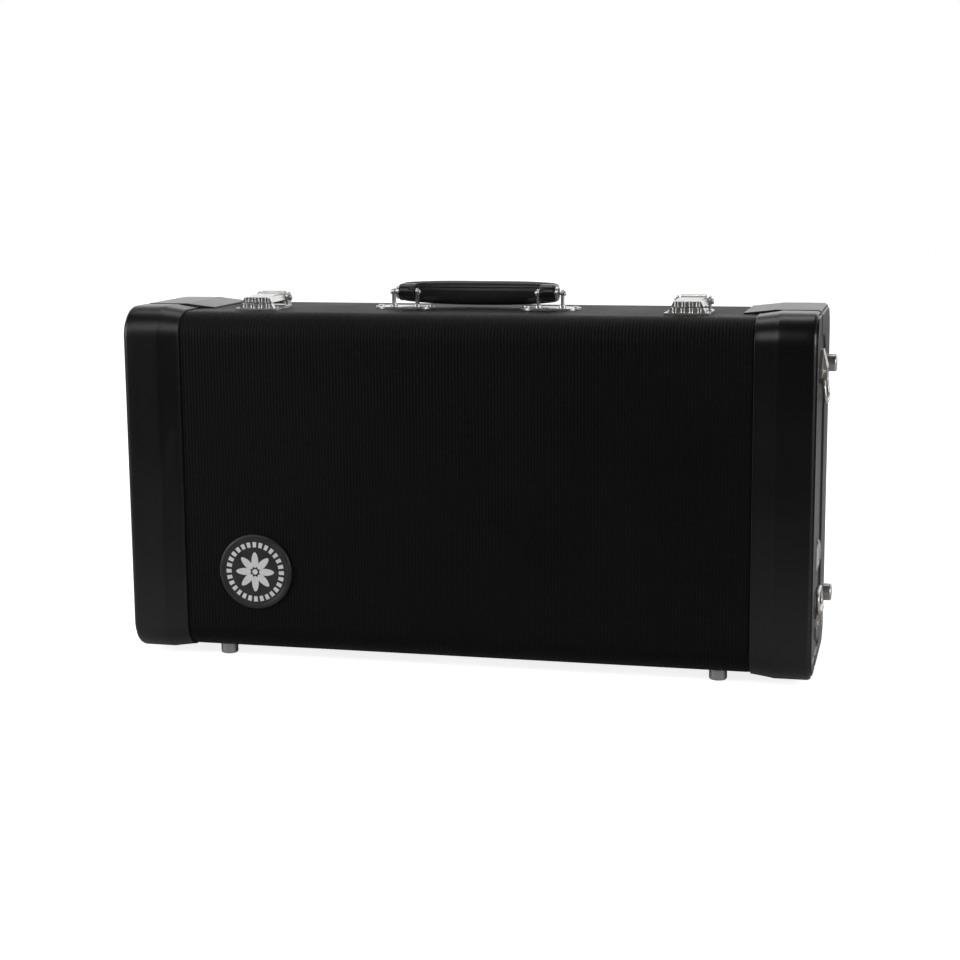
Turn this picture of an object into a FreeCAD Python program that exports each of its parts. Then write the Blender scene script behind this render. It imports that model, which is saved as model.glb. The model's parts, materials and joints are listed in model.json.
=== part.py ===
import FreeCAD, Part
import math
import os
from FreeCAD import Vector

os.makedirs("parts", exist_ok=True)

# Trumpet case standing on its long hinge side, millimetres.
# X runs along the case, the lid faces -Y, +Z is up towards the handle.
# The origin is on the floor under the middle of the case.

# Case
case_length = 550.0
case_depth = 150.0
case_height = 281.3
lid_depth_share = 1 / 3
foot_drop = 4.8
edge_radius = 24.0
seam_gap = 0.6
overrun = 1.0

# End caps
cap_wall = 3.6
cap_end_wall = 7.0
cap_end_edge = 4.5
cap_edge_step = 1.1
lid_cap_length = 47.0
lid_cap_flat = 30.0
body_cap_length = 60.0
body_cap_flat = 37.0
panel_depth = 1.6
panel_front_rim = 6.5
panel_rear_rim_share = 0.36
panel_low_rim = 12.0
panel_high_rim = 20.0
panel_corner = 20.0

# Shells, cover and lining
cover_thickness = 1.2
shell_wall = 7.0
lining_thickness = 1.5
rim_height = 2.6
tongue_width = 2.2
tongue_reach = 5.0
tongue_gap = 0.8

# Padding
insert_drop = 8.0
bell_axis_share = 0.48667
bell_back_wall = 2.7
bell_low_wall = 6.5
bell_mouth_gap = 8.0
bell_length_share = 0.289
bell_tube_radius = 22.0
tubing_length_share = 0.6166
tubing_height_share = 0.4633
tubing_back_wall = 21.7
tubing_low_reach = 22.0
valve_length_share = 0.185
valve_height_share = 0.5889
valve_offset_share = 0.04624
valve_low_reach = 36.0
valve_floor_drop = 6.0
pad_thickness = 22.0
pad_crown = 7.0
pad_length_share = 0.6551
pad_height_share = 0.6203
pad_low = 24.0
pad_right_gap = 14.0
pad_corner = 20.0
pad_edge = 8.0

# Accessory box
box_length_share = 0.6012
box_height_share = 0.2277
box_wall = 3.5
box_floor = 3.0
box_side_gap = 8.0
box_top_gap = 4.0
box_lid_drop = 17.0
box_lid_thickness = 3.5
box_lid_gap = 0.6
box_pin_radius = 1.0
box_knuckle_radius = 2.0
box_knuckle_length = 24.0
box_pin_clearance = 0.05
tab_width = 22.0
tab_length = 16.0
tab_thickness = 1.6

# Mouthpiece holder
holder_box_gap = 40.0
holder_right_gap = 9.0
holder_drop = 14.0
cup_radius = 13.8
cup_depth_share = 0.43
shank_radius = 8.0
shank_depth_share = 0.49
cup_pitch_share = 0.2933
cup_count = 3

# Lid hinges
hinge_length = 62.0
hinge_foot_gap = 4.0
hinge_count = 3
hinge_axis_drop = 0.6
knuckle_radius = 2.6
hinge_pin_radius = 1.3
hinge_pin_clearance = 0.05
leaf_thickness = 1.4
leaf_reach = 19.0
leaf_web = 2.2
knuckle_gap = 0.4
leaf_corner = 4.0

# Feet
foot_radius = 7.0
foot_edge = 1.6
foot_cap_gap = 13.0
foot_inset = 28.0
foot_screw_radius = 3.0
foot_screw_sink = 1.2
end_foot_reach = 7.5
end_foot_low = 47.0
end_foot_drop = 47.3
end_foot_inset = 27.0

# Badge
badge_radius = 30.5
badge_from_left = 107.0
badge_height = 70.0
badge_rise = 2.6
badge_edge = 1.2
badge_ring_radius = 24.0
badge_ring_width = 2.4
badge_ring_rise = 0.5
badge_hub_radius = 9.0

# Handle
handle_set_back = 25.0
handle_pin_height = 12.7
handle_pin_radius = 1.5
handle_pin_clearance = 0.08
handle_ear_inner = 50.0
handle_ear_outer = 69.5
handle_ear_thickness = 1.8
handle_ear_width = 6.0
handle_ear_rise = 3.2
handle_plate_tail = 14.0
handle_plate_overhang = 15.0
handle_plate_width = 24.0
handle_plate_thickness = 1.5
handle_plate_boss = 1.6
grip_ear_gap = 0.5
grip_end_gap = 2.2
grip_reach = 18.0
grip_thick = 19.5
grip_deep = 15.0
grip_knuckle_radius = 6.8
grip_core_width = 6.0
grip_core_thickness = 2.2
ferrule_length = 2.0
ferrule_radius = 5.4
ferrule_rim = 1.2
ferrule_dish = 1.0
bracket_screw_radius = 2.6
bracket_screw_rise = 1.2
bracket_screw_inset = 4.4

# Latches
latch_cap_gap = 41.5
latch_width = 35.0
latch_plate_thickness = 1.4
keeper_reach = 16.0
keeper_back_gap = 1.2
keeper_block_reach = 14.0
keeper_block_width = 29.0
keeper_block_depth = 5.5
keeper_block_rise = 3.8
flute_count = 4
flute_radius = 2.0
flute_depth = 1.3
side_slope = 2.0
lip_reach = 4.4
lip_thickness = 1.6
lip_rise = 2.0
base_front_gap = 1.4
base_shoulder_reach = 19.0
base_back_gap = 1.0
latch_pin_reach = 28.0
latch_pin_height = 7.4
latch_pin_radius = 1.5
latch_pin_clearance = 0.05
latch_ear_thickness = 1.5
latch_ear_radius = 4.6
latch_ear_gap = 0.4
latch_barrel_radius = 3.2
latch_barrel_width = 23.2
lever_front_reach = 12.4
lever_width = 25.0
lever_low = 5.9
lever_thickness = 4.0
lever_wide_gap = 1.2
lever_neck_width = 19.5
lever_top_start = 6.0
lever_top_rise = 1.0
lever_top_slope = 12.0
hood_radius = 5.4
hook_reach = 7.8
hook_thickness = 1.6
hook_width = 12.0
hook_gap = 0.4
latch_head_radius = 2.4
latch_head_rise = 2.2
spring_width = 6.0
spring_thickness = 0.6
spring_length = 16.0
spring_rise = 2.6
latch_rivet_radius = 1.6
latch_rivet_rise = 0.8

# Strap plates and rings on the ends
strap_width = 38.0
strap_side_gap = 3.0
strap_top_gap = 11.7
strap_low_gap = 7.5
strap_plate_thickness = 1.6
strap_boss_rise = 5.0
strap_body_height = 7.2
strap_point_height = 13.7
strap_point_width = 14.0
strap_roll_radius = 2.7
strap_roll_gap = 0.3
strap_roll_lift = 1.2
strap_slot_start = 3.6
strap_slot_height = 2.2
strap_slot_floor = 1.0
ring_wire_radius = 1.6
ring_reach = 15.8
ring_corner = 6.0
ring_clearance = 0.15
ring_lean_degrees = 3.0
ring_hang_degrees = 8.0
strap_rivet_radius = 2.2
strap_rivet_rise = 1.0

# Card pocket on the right end
pocket_low = 74.0
pocket_height = 38.0
pocket_seam_gap = 8.0
pocket_side_gap = 4.0
pocket_thickness = 0.5
pocket_bulge = 1.8
pocket_cut_width = 24.0
pocket_cut_height = 16.0
card_margin = 3.0
card_thickness = 0.4

# Places worked out from the sizes above
half_length = case_length / 2
front = -case_depth / 2
rear = case_depth / 2
seam = front + case_depth * lid_depth_share
lid_seam = seam - seam_gap / 2
body_seam = seam + seam_gap / 2
low = foot_drop
high = foot_drop + case_height
cover_inset = cap_wall
shell_inset = cover_inset + cover_thickness
lining_inset = shell_inset + shell_wall
inner_inset = lining_inset + lining_thickness
top_face = high - cover_inset
bottom_face = low + cover_inset
shell_end = half_length - cap_end_wall
lining_end = shell_end - shell_wall
inner_end = lining_end - lining_thickness
inner_low = low + inner_inset
inner_high = high - inner_inset
inner_front = front + inner_inset
inner_rear = rear - inner_inset
inner_length = 2 * inner_end
inner_height = inner_high - inner_low
insert_face = seam + insert_drop
panel_plane = half_length - panel_depth
panel_front = front + panel_front_rim
panel_rear = rear - case_depth * panel_rear_rim_share
panel_low = low + panel_low_rim
panel_high = high - panel_high_rim
hinge_height = low - hinge_axis_drop
foot_offset = half_length - body_cap_length - foot_cap_gap
latch_offset = half_length - body_cap_length - latch_cap_gap
hinge_pitch = foot_offset - foot_radius - hinge_foot_gap - hinge_length / 2
bell_y = front + case_depth * bell_axis_share
bell_radius = inner_rear - bell_y - bell_back_wall
bell_z = inner_low + bell_low_wall + bell_radius
strap_y = panel_rear - strap_side_gap - strap_width / 2
handle_plate_low = handle_ear_inner - handle_plate_tail
handle_plate_high = handle_ear_outer + handle_plate_overhang


def box(x0, x1, y0, y1, z0, z1):
    return Part.makeBox(x1 - x0, y1 - y0, z1 - z0, Vector(x0, y0, z0))


def rod(axis, start, end, first, second, radius):
    """Round bar along an axis, placed by its two other coordinates."""
    base = along(axis, start, first, second)
    return Part.makeCylinder(radius, end - start, base, direction(axis))


def direction(axis):
    return {"x": Vector(1, 0, 0), "y": Vector(0, 1, 0), "z": Vector(0, 0, 1)}[axis]


def along(axis, place, first, second):
    """Point at a place on an axis, with the other two coordinates in X, Y, Z order."""
    return {
        "x": Vector(place, first, second),
        "y": Vector(first, place, second),
        "z": Vector(first, second, place),
    }[axis]


def rounded_prism(axis, start, end, u0, u1, v0, v1, radius):
    """Bar along an axis whose section is a rectangle with four round corners."""
    radius = min(radius, (u1 - u0) / 2 * 0.999, (v1 - v0) / 2 * 0.999)
    bend = radius * (1 - math.sqrt(0.5))
    points = [
        [(u0 + radius, v0), (u1 - radius, v0), (u1 - bend, v0 + bend)],
        [(u1, v0 + radius), (u1, v1 - radius), (u1 - bend, v1 - bend)],
        [(u1 - radius, v1), (u0 + radius, v1), (u0 + bend, v1 - bend)],
        [(u0, v1 - radius), (u0, v0 + radius), (u0 + bend, v0 + bend)],
    ]
    edges = []
    for index, (line_start, line_end, middle) in enumerate(points):
        next_start = points[(index + 1) % len(points)][0]
        a, b, c, d = [along(axis, start, *p) for p in (line_start, line_end, middle, next_start)]
        edges.append(Part.LineSegment(a, b).toShape())
        edges.append(Part.Arc(b, c, d).toShape())
    face = Part.Face(Part.Wire(edges))
    return face.extrude(direction(axis) * (end - start))


def polygon_prism(axis, start, end, points):
    """Bar along an axis whose section is a polygon."""
    corners = [along(axis, start, u, v) for u, v in points]
    face = Part.Face(Part.makePolygon(corners + corners[:1]))
    return face.extrude(direction(axis) * (end - start))


def mirrored(shape):
    """The same piece on the other end of the case."""
    return shape.mirror(Vector(0, 0, 0), Vector(1, 0, 0))


def turned(shape, centre, axis, degrees):
    copy = shape.copy()
    copy.rotate(centre, axis, degrees)
    return copy


def fuse(shapes):
    result = shapes[0].multiFuse(shapes[1:]) if len(shapes) > 1 else shapes[0]
    return result.removeSplitter()


def save(name, *shapes):
    solids = [solid for shape in shapes for solid in shape.Solids]
    for solid in solids:
        if not solid.isValid():
            print("check", name)
    whole = Part.makeCompound(solids) if len(solids) > 1 else solids[0]
    whole.exportStep("parts/" + name + ".step")


# Sections of the case


def case_section(x, side, inset, open_y):
    """Wire of one half of the case at x: side -1 is the lid, side 1 the body."""
    face_y = side * (case_depth / 2 - inset)
    radius = edge_radius - inset
    bend = radius * (1 - math.sqrt(0.5))
    z0 = low + inset
    z1 = high - inset
    line_y = face_y - side * radius
    a = Vector(x, open_y, z0)
    b = Vector(x, line_y, z0)
    c = Vector(x, face_y, z0 + radius)
    d = Vector(x, face_y, z1 - radius)
    e = Vector(x, line_y, z1)
    f = Vector(x, open_y, z1)
    low_middle = Vector(x, face_y - side * bend, z0 + bend)
    high_middle = Vector(x, face_y - side * bend, z1 - bend)
    edges = [
        Part.LineSegment(a, b).toShape(),
        Part.Arc(b, low_middle, c).toShape(),
        Part.LineSegment(c, d).toShape(),
        Part.Arc(d, high_middle, e).toShape(),
        Part.LineSegment(e, f).toShape(),
        Part.LineSegment(f, a).toShape(),
    ]
    return Part.Wire(edges)


def case_bar(x0, x1, side, inset, open_y):
    face = Part.Face(case_section(x0, side, inset, open_y))
    return face.extrude(Vector(x1 - x0, 0, 0))


def open_side(side):
    return lid_seam if side < 0 else body_seam


def shell_layer(side, outer_inset, thickness, outer_end, open_y):
    """Open tray between two insets, closed at both ends."""
    outer = case_bar(-outer_end, outer_end, side, outer_inset, open_y)
    inner_x = outer_end - thickness
    inner = case_bar(-inner_x, inner_x, side, outer_inset + thickness, open_y - side * overrun)
    return outer.cut(inner)


# End caps


def end_cap(side, length, flat):
    """Moulded cap on the right end of one shell half."""
    open_y = open_side(side)
    flat_x = half_length - flat
    edge_x = half_length - length
    block = case_bar(flat_x, half_length, side, 0, open_y)
    rim_edges = [
        edge for edge in block.Edges
        if all(abs(v.X - half_length) < overrun / 1000 for v in edge.Vertexes)
        and not all(abs(v.Y - open_y) < overrun / 1000 for v in edge.Vertexes)
    ]
    block = block.makeFillet(cap_end_edge, rim_edges)
    ramp_inset = cap_wall - cap_edge_step
    wires = [case_section(edge_x, side, ramp_inset, open_y), case_section(flat_x, side, 0, open_y)]
    ramp = Part.makeLoft(wires, True, True)
    cap = block.fuse(ramp)
    core = case_bar(edge_x - overrun, shell_end, side, cap_wall, open_y - side * overrun)
    cap = cap.cut(core)
    return cap.cut(end_panel()).removeSplitter()


def end_panel():
    """Shallow sunk field of the right end, across both shells."""
    return rounded_prism(
        "x", panel_plane, half_length + overrun,
        panel_front, panel_rear, panel_low, panel_high, panel_corner,
    )


def make_caps():
    lid_cap = end_cap(-1, lid_cap_length, lid_cap_flat)
    body_cap = end_cap(1, body_cap_length, body_cap_flat)
    save("lid_cap_right", lid_cap)
    save("lid_cap_left", mirrored(lid_cap))
    save("body_cap_right", body_cap)
    save("body_cap_left", mirrored(body_cap))


# Covers, shells and linings


def make_shells():
    for side, name in ((-1, "lid"), (1, "body")):
        open_y = open_side(side)
        outer = case_bar(-shell_end, shell_end, side, cover_inset, open_y)
        inner = case_bar(-half_length, half_length, side, shell_inset, open_y - side * overrun)
        save(name + "_cover", outer.cut(inner))
        shell_open = open_y + side * rim_height
        save(name + "_shell", shell_layer(side, shell_inset, shell_wall, shell_end, shell_open))
        save(name + "_rim", rim(side, open_y))
        lining_open = open_y + side * (rim_height + (tongue_reach if side < 0 else 0))
        save(name + "_lining", shell_layer(side, lining_inset, lining_thickness, lining_end, lining_open))


def frame_bar(outer_inset, outer_end, width, y0, y1):
    """Rectangular frame between two levels of the case depth."""
    z0 = low + outer_inset
    z1 = high - outer_inset
    outer = box(-outer_end, outer_end, y0, y1, z0, z1)
    inner_x = outer_end - width
    hole = box(-inner_x, inner_x, y0 - overrun, y1 + overrun, z0 + width, z1 - width)
    return outer.cut(hole)


def rim(side, open_y):
    """Metal edge strip of a shell; the body's carries the tongue."""
    y0, y1 = sorted((open_y, open_y + side * rim_height))
    strip = frame_bar(shell_inset, shell_end, shell_wall, y0, y1)
    if side < 0:
        return strip
    tongue_inset = lining_inset + tongue_gap
    tongue_end = lining_end - tongue_gap
    reach = open_y - seam_gap - tongue_reach
    tongue = frame_bar(tongue_inset, tongue_end, tongue_width, reach, y1)
    bridge = frame_bar(lining_inset, lining_end, tongue_gap + tongue_width, y0, y1)
    return fuse([strip, tongue, bridge])


# Padding of the body


def foam(x0, x1, z0, z1, face):
    """Foam block of the insert, from its front face back to the lining."""
    whole = case_bar(-inner_end, inner_end, 1, inner_inset, insert_face)
    return whole.common(box(x0, x1, face, rear, z0, z1))


def bell_stations():
    """(x, radius) pairs along the bell, from its mouth to the tubing."""
    mouth_x = -inner_end + bell_mouth_gap
    length = inner_length * bell_length_share
    shares = ((0, 1.0), (0.09, 0.8), (0.34, 0.52), (0.68, 0.43))
    pairs = [(mouth_x + length * reach, bell_radius * width) for reach, width in shares]
    return pairs + [(mouth_x + length, bell_tube_radius)]


def bell_blocks(ceiling):
    """Foam above, below and behind the bell."""
    pairs = bell_stations()
    outlines = []
    for side, z in ((1, ceiling), (-1, inner_low)):
        edge = [(x, bell_z + side * r) for x, r in pairs]
        outlines.append((insert_face, [(pairs[-1][0], z), (pairs[0][0], z)] + edge))
    for (x0, r0), (x1, r1) in zip(pairs, pairs[1:]):
        corners = [(x0, bell_z - r0), (x1, bell_z - r1), (x1, bell_z + r1), (x0, bell_z + r0)]
        outlines.append((bell_y + r0, corners))
    whole = case_bar(-inner_end, inner_end, 1, inner_inset, insert_face)
    return [whole.common(polygon_prism("y", face, rear, corners)) for face, corners in outlines]


def tubing_blocks(x0, x1, ceiling):
    """Foam round the tubing and round the deeper, taller room of the valves."""
    z0 = bell_z - tubing_low_reach
    z1 = z0 + inner_height * tubing_height_share
    floor = inner_rear - tubing_back_wall
    valve_length = inner_length * valve_length_share
    valve_x0 = inner_length * valve_offset_share - valve_length / 2
    valve_x1 = valve_x0 + valve_length
    valve_z0 = bell_z - valve_low_reach
    valve_z1 = valve_z0 + inner_height * valve_height_share
    rooms = (
        (x0, valve_x0, z0, z1, floor),
        (valve_x0, valve_x1, valve_z0, valve_z1, floor + valve_floor_drop),
        (valve_x1, x1, z0, z1, floor),
    )
    blocks = []
    for start, end, low_z, high_z, back in rooms:
        blocks.append(foam(start, end, inner_low, low_z, insert_face))
        blocks.append(foam(start, end, high_z, ceiling, insert_face))
        blocks.append(foam(start, end, low_z, high_z, back))
    return blocks


def box_place():
    """Low and high X and Z of the accessory box."""
    x0 = -inner_end + box_side_gap
    z1 = inner_high - box_top_gap
    return x0, x0 + inner_length * box_length_share, z1 - inner_height * box_height_share, z1


def holder_place():
    """Low and high X and Z of the mouthpiece holder."""
    _, box_end, z0, z1 = box_place()
    return box_end + holder_box_gap, inner_end - holder_right_gap, z0, z1


def make_insert():
    """Insert built up from foam blocks round the rooms for the trumpet, the box and the holder."""
    box_x0, box_x1, z0, z1 = box_place()
    holder_x0, holder_x1, _, _ = holder_place()
    mouth_x = bell_stations()[0][0]
    tubing_x0 = bell_stations()[-1][0]
    tubing_x1 = tubing_x0 + inner_length * tubing_length_share
    blocks = bell_blocks(z0) + tubing_blocks(tubing_x0, tubing_x1, z0)
    walls = (
        (-inner_end, mouth_x, inner_low, z0),
        (tubing_x1, inner_end, inner_low, z0),
        (-inner_end, box_x0, z0, z1),
        (box_x1, holder_x0, z0, z1),
        (holder_x1, inner_end, z0, z1),
        (-inner_end, inner_end, z1, inner_high),
    )
    blocks += [foam(*wall, insert_face) for wall in walls]
    blocks.append(foam(box_x0, box_x1, z0, z1, box_back()))
    blocks.append(foam(holder_x0, holder_x1, z0, z1, holder_back()))
    save("trumpet_insert", *blocks)


def box_back():
    return inner_rear - box_floor


def holder_back():
    return inner_rear - box_floor


def box_mouth():
    """Y of the front edge of the accessory box's walls."""
    return seam + box_lid_drop + box_lid_thickness


def make_accessory_box():
    x0, x1, z0, z1 = box_place()
    mouth = box_mouth()
    outer = box(x0, x1, mouth, box_back(), z0, z1)
    room = box(
        x0 + box_wall, x1 - box_wall, mouth - overrun, box_back() - box_wall,
        z0 + box_wall, z1 - box_wall,
    )
    pin_y, pin_z = box_pin_place()
    eyes = []
    for centre in box_hinge_centres():
        for side in (-1, 1):
            start, end = sorted((centre + side * box_knuckle_length / 2, centre + side * box_knuckle_length))
            eye = rod("x", start, end, pin_y, pin_z, box_knuckle_radius)
            foot = box(start, end, pin_y, mouth, pin_z, pin_z + box_knuckle_radius)
            eyes.append(fuse([eye, foot]).cut(rod("x", start, end, pin_y, pin_z, box_pin_radius)))
    save("accessory_box", fuse([outer.cut(room)] + eyes))
    pins = [
        rod("x", c - box_knuckle_length, c + box_knuckle_length, pin_y, pin_z, box_pin_radius)
        for c in box_hinge_centres()
    ]
    save("accessory_hinge_pins", *pins)


def box_hinge_centres():
    x0, x1, _, _ = box_place()
    quarter = (x1 - x0) / 4
    return (x0 + quarter, x1 - quarter)


def box_pin_place():
    """Y and Z of the accessory lid's hinge axis, at its top edge."""
    _, _, _, z1 = box_place()
    return box_mouth() - box_knuckle_radius - box_lid_gap, z1 - box_knuckle_radius


def make_accessory_lid():
    x0, x1, z0, z1 = box_place()
    pin_y, pin_z = box_pin_place()
    back = box_mouth() - box_lid_gap
    y0 = back - box_lid_thickness
    top = pin_z - box_knuckle_radius - box_lid_gap
    panel = rounded_prism("y", y0, back, x0 + box_lid_gap, x1 - box_lid_gap, z0 + box_lid_gap, top, box_wall)
    leaves = []
    for centre in box_hinge_centres():
        half = box_knuckle_length / 2 - box_lid_gap
        knuckle = rod("x", centre - half, centre + half, pin_y, pin_z, box_knuckle_radius)
        neck = box(centre - half, centre + half, pin_y - box_knuckle_radius / 2, back, top - overrun, pin_z)
        bore = rod("x", centre - half, centre + half, pin_y, pin_z, box_pin_radius + box_pin_clearance)
        leaves.append(fuse([knuckle, neck]).cut(bore))
    save("accessory_lid", fuse([panel] + leaves))
    middle = (x0 + x1) / 2
    tab_low = z0 + box_lid_gap + tab_thickness
    loop = rounded_prism(
        "x", middle - tab_width / 2, middle + tab_width / 2,
        y0 - tab_thickness * 4, y0, tab_low, tab_low + tab_length, tab_thickness * 2,
    )
    hole = rounded_prism(
        "x", middle - tab_width / 2 - overrun, middle + tab_width / 2 + overrun,
        y0 - tab_thickness * 3, y0 - tab_thickness, tab_low + tab_thickness,
        tab_low + tab_length - tab_thickness, tab_thickness,
    )
    save("accessory_lid_tab", loop.cut(hole))


def make_mouthpiece_holder():
    x0, x1, z0, z1 = holder_place()
    face = seam + holder_drop
    block = box(x0, x1, face, holder_back(), z0, z1)
    middle_x = (x0 + x1) / 2
    middle_z = (z0 + z1) / 2
    depth = holder_back() - face
    cup_end = face + depth * cup_depth_share
    shank_end = cup_end + depth * shank_depth_share
    for index in range(cup_count):
        x = middle_x + (index - (cup_count - 1) / 2) * cup_pitch_share * (x1 - x0)
        block = block.cut(rod("y", face - overrun, cup_end, x, middle_z, cup_radius))
        block = block.cut(rod("y", face, shank_end, x, middle_z, shank_radius))
    save("mouthpiece_holder", block)


def make_lid_pad():
    """Crowned cushion on the inside of the lid."""
    x1 = inner_end - pad_right_gap
    x0 = x1 - inner_length * pad_length_share
    z0 = inner_low + pad_low
    z1 = z0 + inner_height * pad_height_share
    side_y = inner_front + pad_thickness - pad_crown
    base = rounded_prism("y", inner_front, side_y, x0, x1, z0, z1, pad_corner)
    wires = []
    for rise_share, draw_share in ((0, 0), (0.6, 0.35), (1, 1)):
        y = side_y + pad_crown * rise_share
        draw = pad_edge * draw_share * 2
        ring = rounded_prism("y", y, y + overrun, x0 + draw, x1 - draw, z0 + draw, z1 - draw, pad_corner)
        wires.append(min(ring.Faces, key=lambda f: f.CenterOfMass.y).OuterWire)
    crown = Part.makeLoft(wires, True, True)
    save("lid_pad", fuse([base, crown]))


# Lid hinges


def hinge_centres():
    return [(index - (hinge_count - 1) / 2) * hinge_pitch for index in range(hinge_count)]


def hinge_leaf(side, x0, x1, knuckle_spans, bore_radius):
    """Flat leaf under a shell, with a web down to its knuckles."""
    near = seam + side * seam_gap / 2
    far = seam + side * leaf_reach
    y0, y1 = sorted((near, far))
    leaf = rounded_prism("z", bottom_face - leaf_thickness, bottom_face, x0, x1, y0, y1, leaf_corner)
    square_y0, square_y1 = sorted((near, near + side * leaf_corner))
    leaf = leaf.fuse(box(x0, x1, square_y0, square_y1, bottom_face - leaf_thickness, bottom_face))
    pieces = [leaf]
    for start, end in knuckle_spans:
        web_y0, web_y1 = sorted((near, near + side * leaf_web))
        pieces.append(box(start, end, web_y0, web_y1, hinge_height, bottom_face - leaf_thickness))
        pieces.append(rod("x", start, end, seam, hinge_height, knuckle_radius))
    leaf = fuse(pieces)
    return leaf.cut(rod("x", x0 - overrun, x1 + overrun, seam, hinge_height, bore_radius))


def make_hinges():
    lid_leaves = []
    body_leaves = []
    pins = []
    third = hinge_length / 3
    for centre in hinge_centres():
        x0 = centre - hinge_length / 2
        x1 = centre + hinge_length / 2
        lid_span = [(x0 + third + knuckle_gap, x1 - third - knuckle_gap)]
        body_spans = [(x0, x0 + third), (x1 - third, x1)]
        lid_leaves.append(hinge_leaf(-1, x0, x1, lid_span, hinge_pin_radius + hinge_pin_clearance))
        body_leaves.append(hinge_leaf(1, x0, x1, body_spans, hinge_pin_radius))
        pins.append(rod("x", x0, x1, seam, hinge_height, hinge_pin_radius))
    save("lid_hinge_leaves", *lid_leaves)
    save("body_hinge_leaves", *body_leaves)
    save("hinge_pins", *pins)


# Feet


def stud(axis, start, end, first, second, radius, edge):
    """Round foot whose far end has a rounded edge."""
    body = rod(axis, min(start, end), max(start, end), first, second, radius)
    rims = [
        e for e in body.Edges
        if len(e.Vertexes) == 1 and abs(e.Vertexes[0].Point.dot(direction(axis)) - end) < overrun / 1000
    ]
    return body.makeFillet(edge, rims)


def foot_with_screw(axis, seat, tip, first, second, sign):
    """A foot and the screw sunk in its middle; sign points outwards along the axis."""
    foot = stud(axis, seat, tip, first, second, foot_radius, foot_edge)
    sink = tip - sign * foot_screw_sink
    well = rod(axis, min(sink, tip), max(sink, tip), first, second, foot_screw_radius + hinge_pin_clearance)
    head_top = tip - sign * foot_screw_sink / 2
    head = rod(axis, min(sink, head_top), max(sink, head_top), first, second, foot_screw_radius)
    return foot.cut(well), head


def make_feet():
    groups = {"lid": front + foot_inset, "body": rear - foot_inset}
    for name, y in groups.items():
        pairs = [foot_with_screw("z", bottom_face, 0, side * foot_offset, y, -1) for side in (-1, 1)]
        save(name + "_feet", *[foot for foot, _ in pairs])
        save(name + "_foot_screws", *[screw for _, screw in pairs])
    feet = []
    screws = []
    y = rear - end_foot_inset
    for z in (low + end_foot_low, high - end_foot_drop):
        foot, screw = foot_with_screw("x", half_length, half_length + end_foot_reach, y, z, 1)
        feet += [foot, mirrored(foot)]
        screws += [screw, mirrored(screw)]
    save("end_feet", *feet)
    save("end_foot_screws", *screws)


# Badge


def make_badge():
    x = -half_length + badge_from_left
    z = low + badge_height
    face = front + cover_inset
    top = face - badge_rise
    disc = rod("y", top, face, x, z, badge_radius)
    rims = [e for e in disc.Edges if len(e.Vertexes) == 1 and abs(e.Vertexes[0].Y - top) < overrun / 1000]
    disc = disc.makeFillet(badge_edge, rims)
    ring = rod("y", top - badge_ring_rise, top, x, z, badge_ring_radius)
    ring = ring.cut(rod("y", top - overrun, top, x, z, badge_ring_radius - badge_ring_width))
    hub = rod("y", top - badge_ring_rise, top, x, z, badge_hub_radius)
    save("badge", disc)
    save("badge_ring", ring, hub)


# Handle


def handle_axis():
    """Y and Z of the handle's pins."""
    return seam + handle_set_back, top_face + handle_pin_height


def handle_bracket():
    """Right bracket: oval base plate with two upright ears."""
    pin_y, pin_z = handle_axis()
    plate_top = top_face + handle_plate_thickness
    half_width = handle_plate_width / 2
    plate = rounded_prism(
        "z", top_face, plate_top, handle_plate_low, handle_plate_high,
        pin_y - half_width, pin_y + half_width, half_width,
    )
    pieces = [plate]
    for x in (handle_ear_inner, handle_ear_outer):
        start = x - handle_ear_thickness / 2
        end = x + handle_ear_thickness / 2
        ear = rounded_prism(
            "x", start, end, pin_y - handle_ear_width / 2, pin_y + handle_ear_width / 2,
            top_face, pin_z + handle_ear_rise, handle_ear_width / 2,
        )
        boss = rod("z", plate_top, plate_top + handle_plate_boss, x, pin_y, handle_ear_width / 2)
        pieces += [ear, boss]
    bracket = fuse(pieces)
    pin_start = handle_ear_inner - handle_ear_thickness
    pin_end = handle_ear_outer + handle_ear_thickness
    return bracket.cut(rod("x", pin_start, pin_end, pin_y, pin_z, handle_pin_radius))


def handle_pin():
    """Right pin through both ears, with a rounded head outside each."""
    pin_y, pin_z = handle_axis()
    inner = handle_ear_inner - handle_ear_thickness / 2
    outer = handle_ear_outer + handle_ear_thickness / 2
    head = handle_pin_radius
    shaft = rod("x", inner - head, outer + head, pin_y, pin_z, handle_pin_radius)
    balls = [Part.makeSphere(head * 1.5, Vector(x, pin_y, pin_z)) for x in (inner, outer)]
    spans = [box(inner - 2 * head, inner, -half_length, half_length, low, high + case_depth),
             box(outer, outer + 2 * head, -half_length, half_length, low, high + case_depth)]
    heads = [ball.common(span) for ball, span in zip(balls, spans)]
    return fuse([shaft] + heads)


def grip_stations(end):
    """(x, reach, thick, deep) along the right half of the arched bar, ending at x = end."""
    shares = (
        (0, 1, 1, 1),
        (0.45, 0.93, 0.98, 0.98),
        (0.76, 0.7, 0.92, 0.93),
        (0.91, 0.54, 0.84, 0.87),
        (1, 0.44, 0.72, 0.8),
    )
    return [
        (end * x, grip_reach * reach, grip_thick * thick, grip_deep * deep)
        for x, reach, thick, deep in shares
    ]


def grip_section(x, reach, thick, deep):
    """Oval section of the grip at x, as a closed wire."""
    pin_y, pin_z = handle_axis()
    centre = Vector(x, pin_y + reach, pin_z)
    tall = Vector(0, 0, thick / 2)
    wide = Vector(0, deep / 2, 0)
    oval = Part.Ellipse(centre + tall, centre + wide, centre)
    if deep > thick:
        oval = Part.Ellipse(centre + wide, centre - tall, centre)
    return Part.Wire([oval.toShape()])


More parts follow.
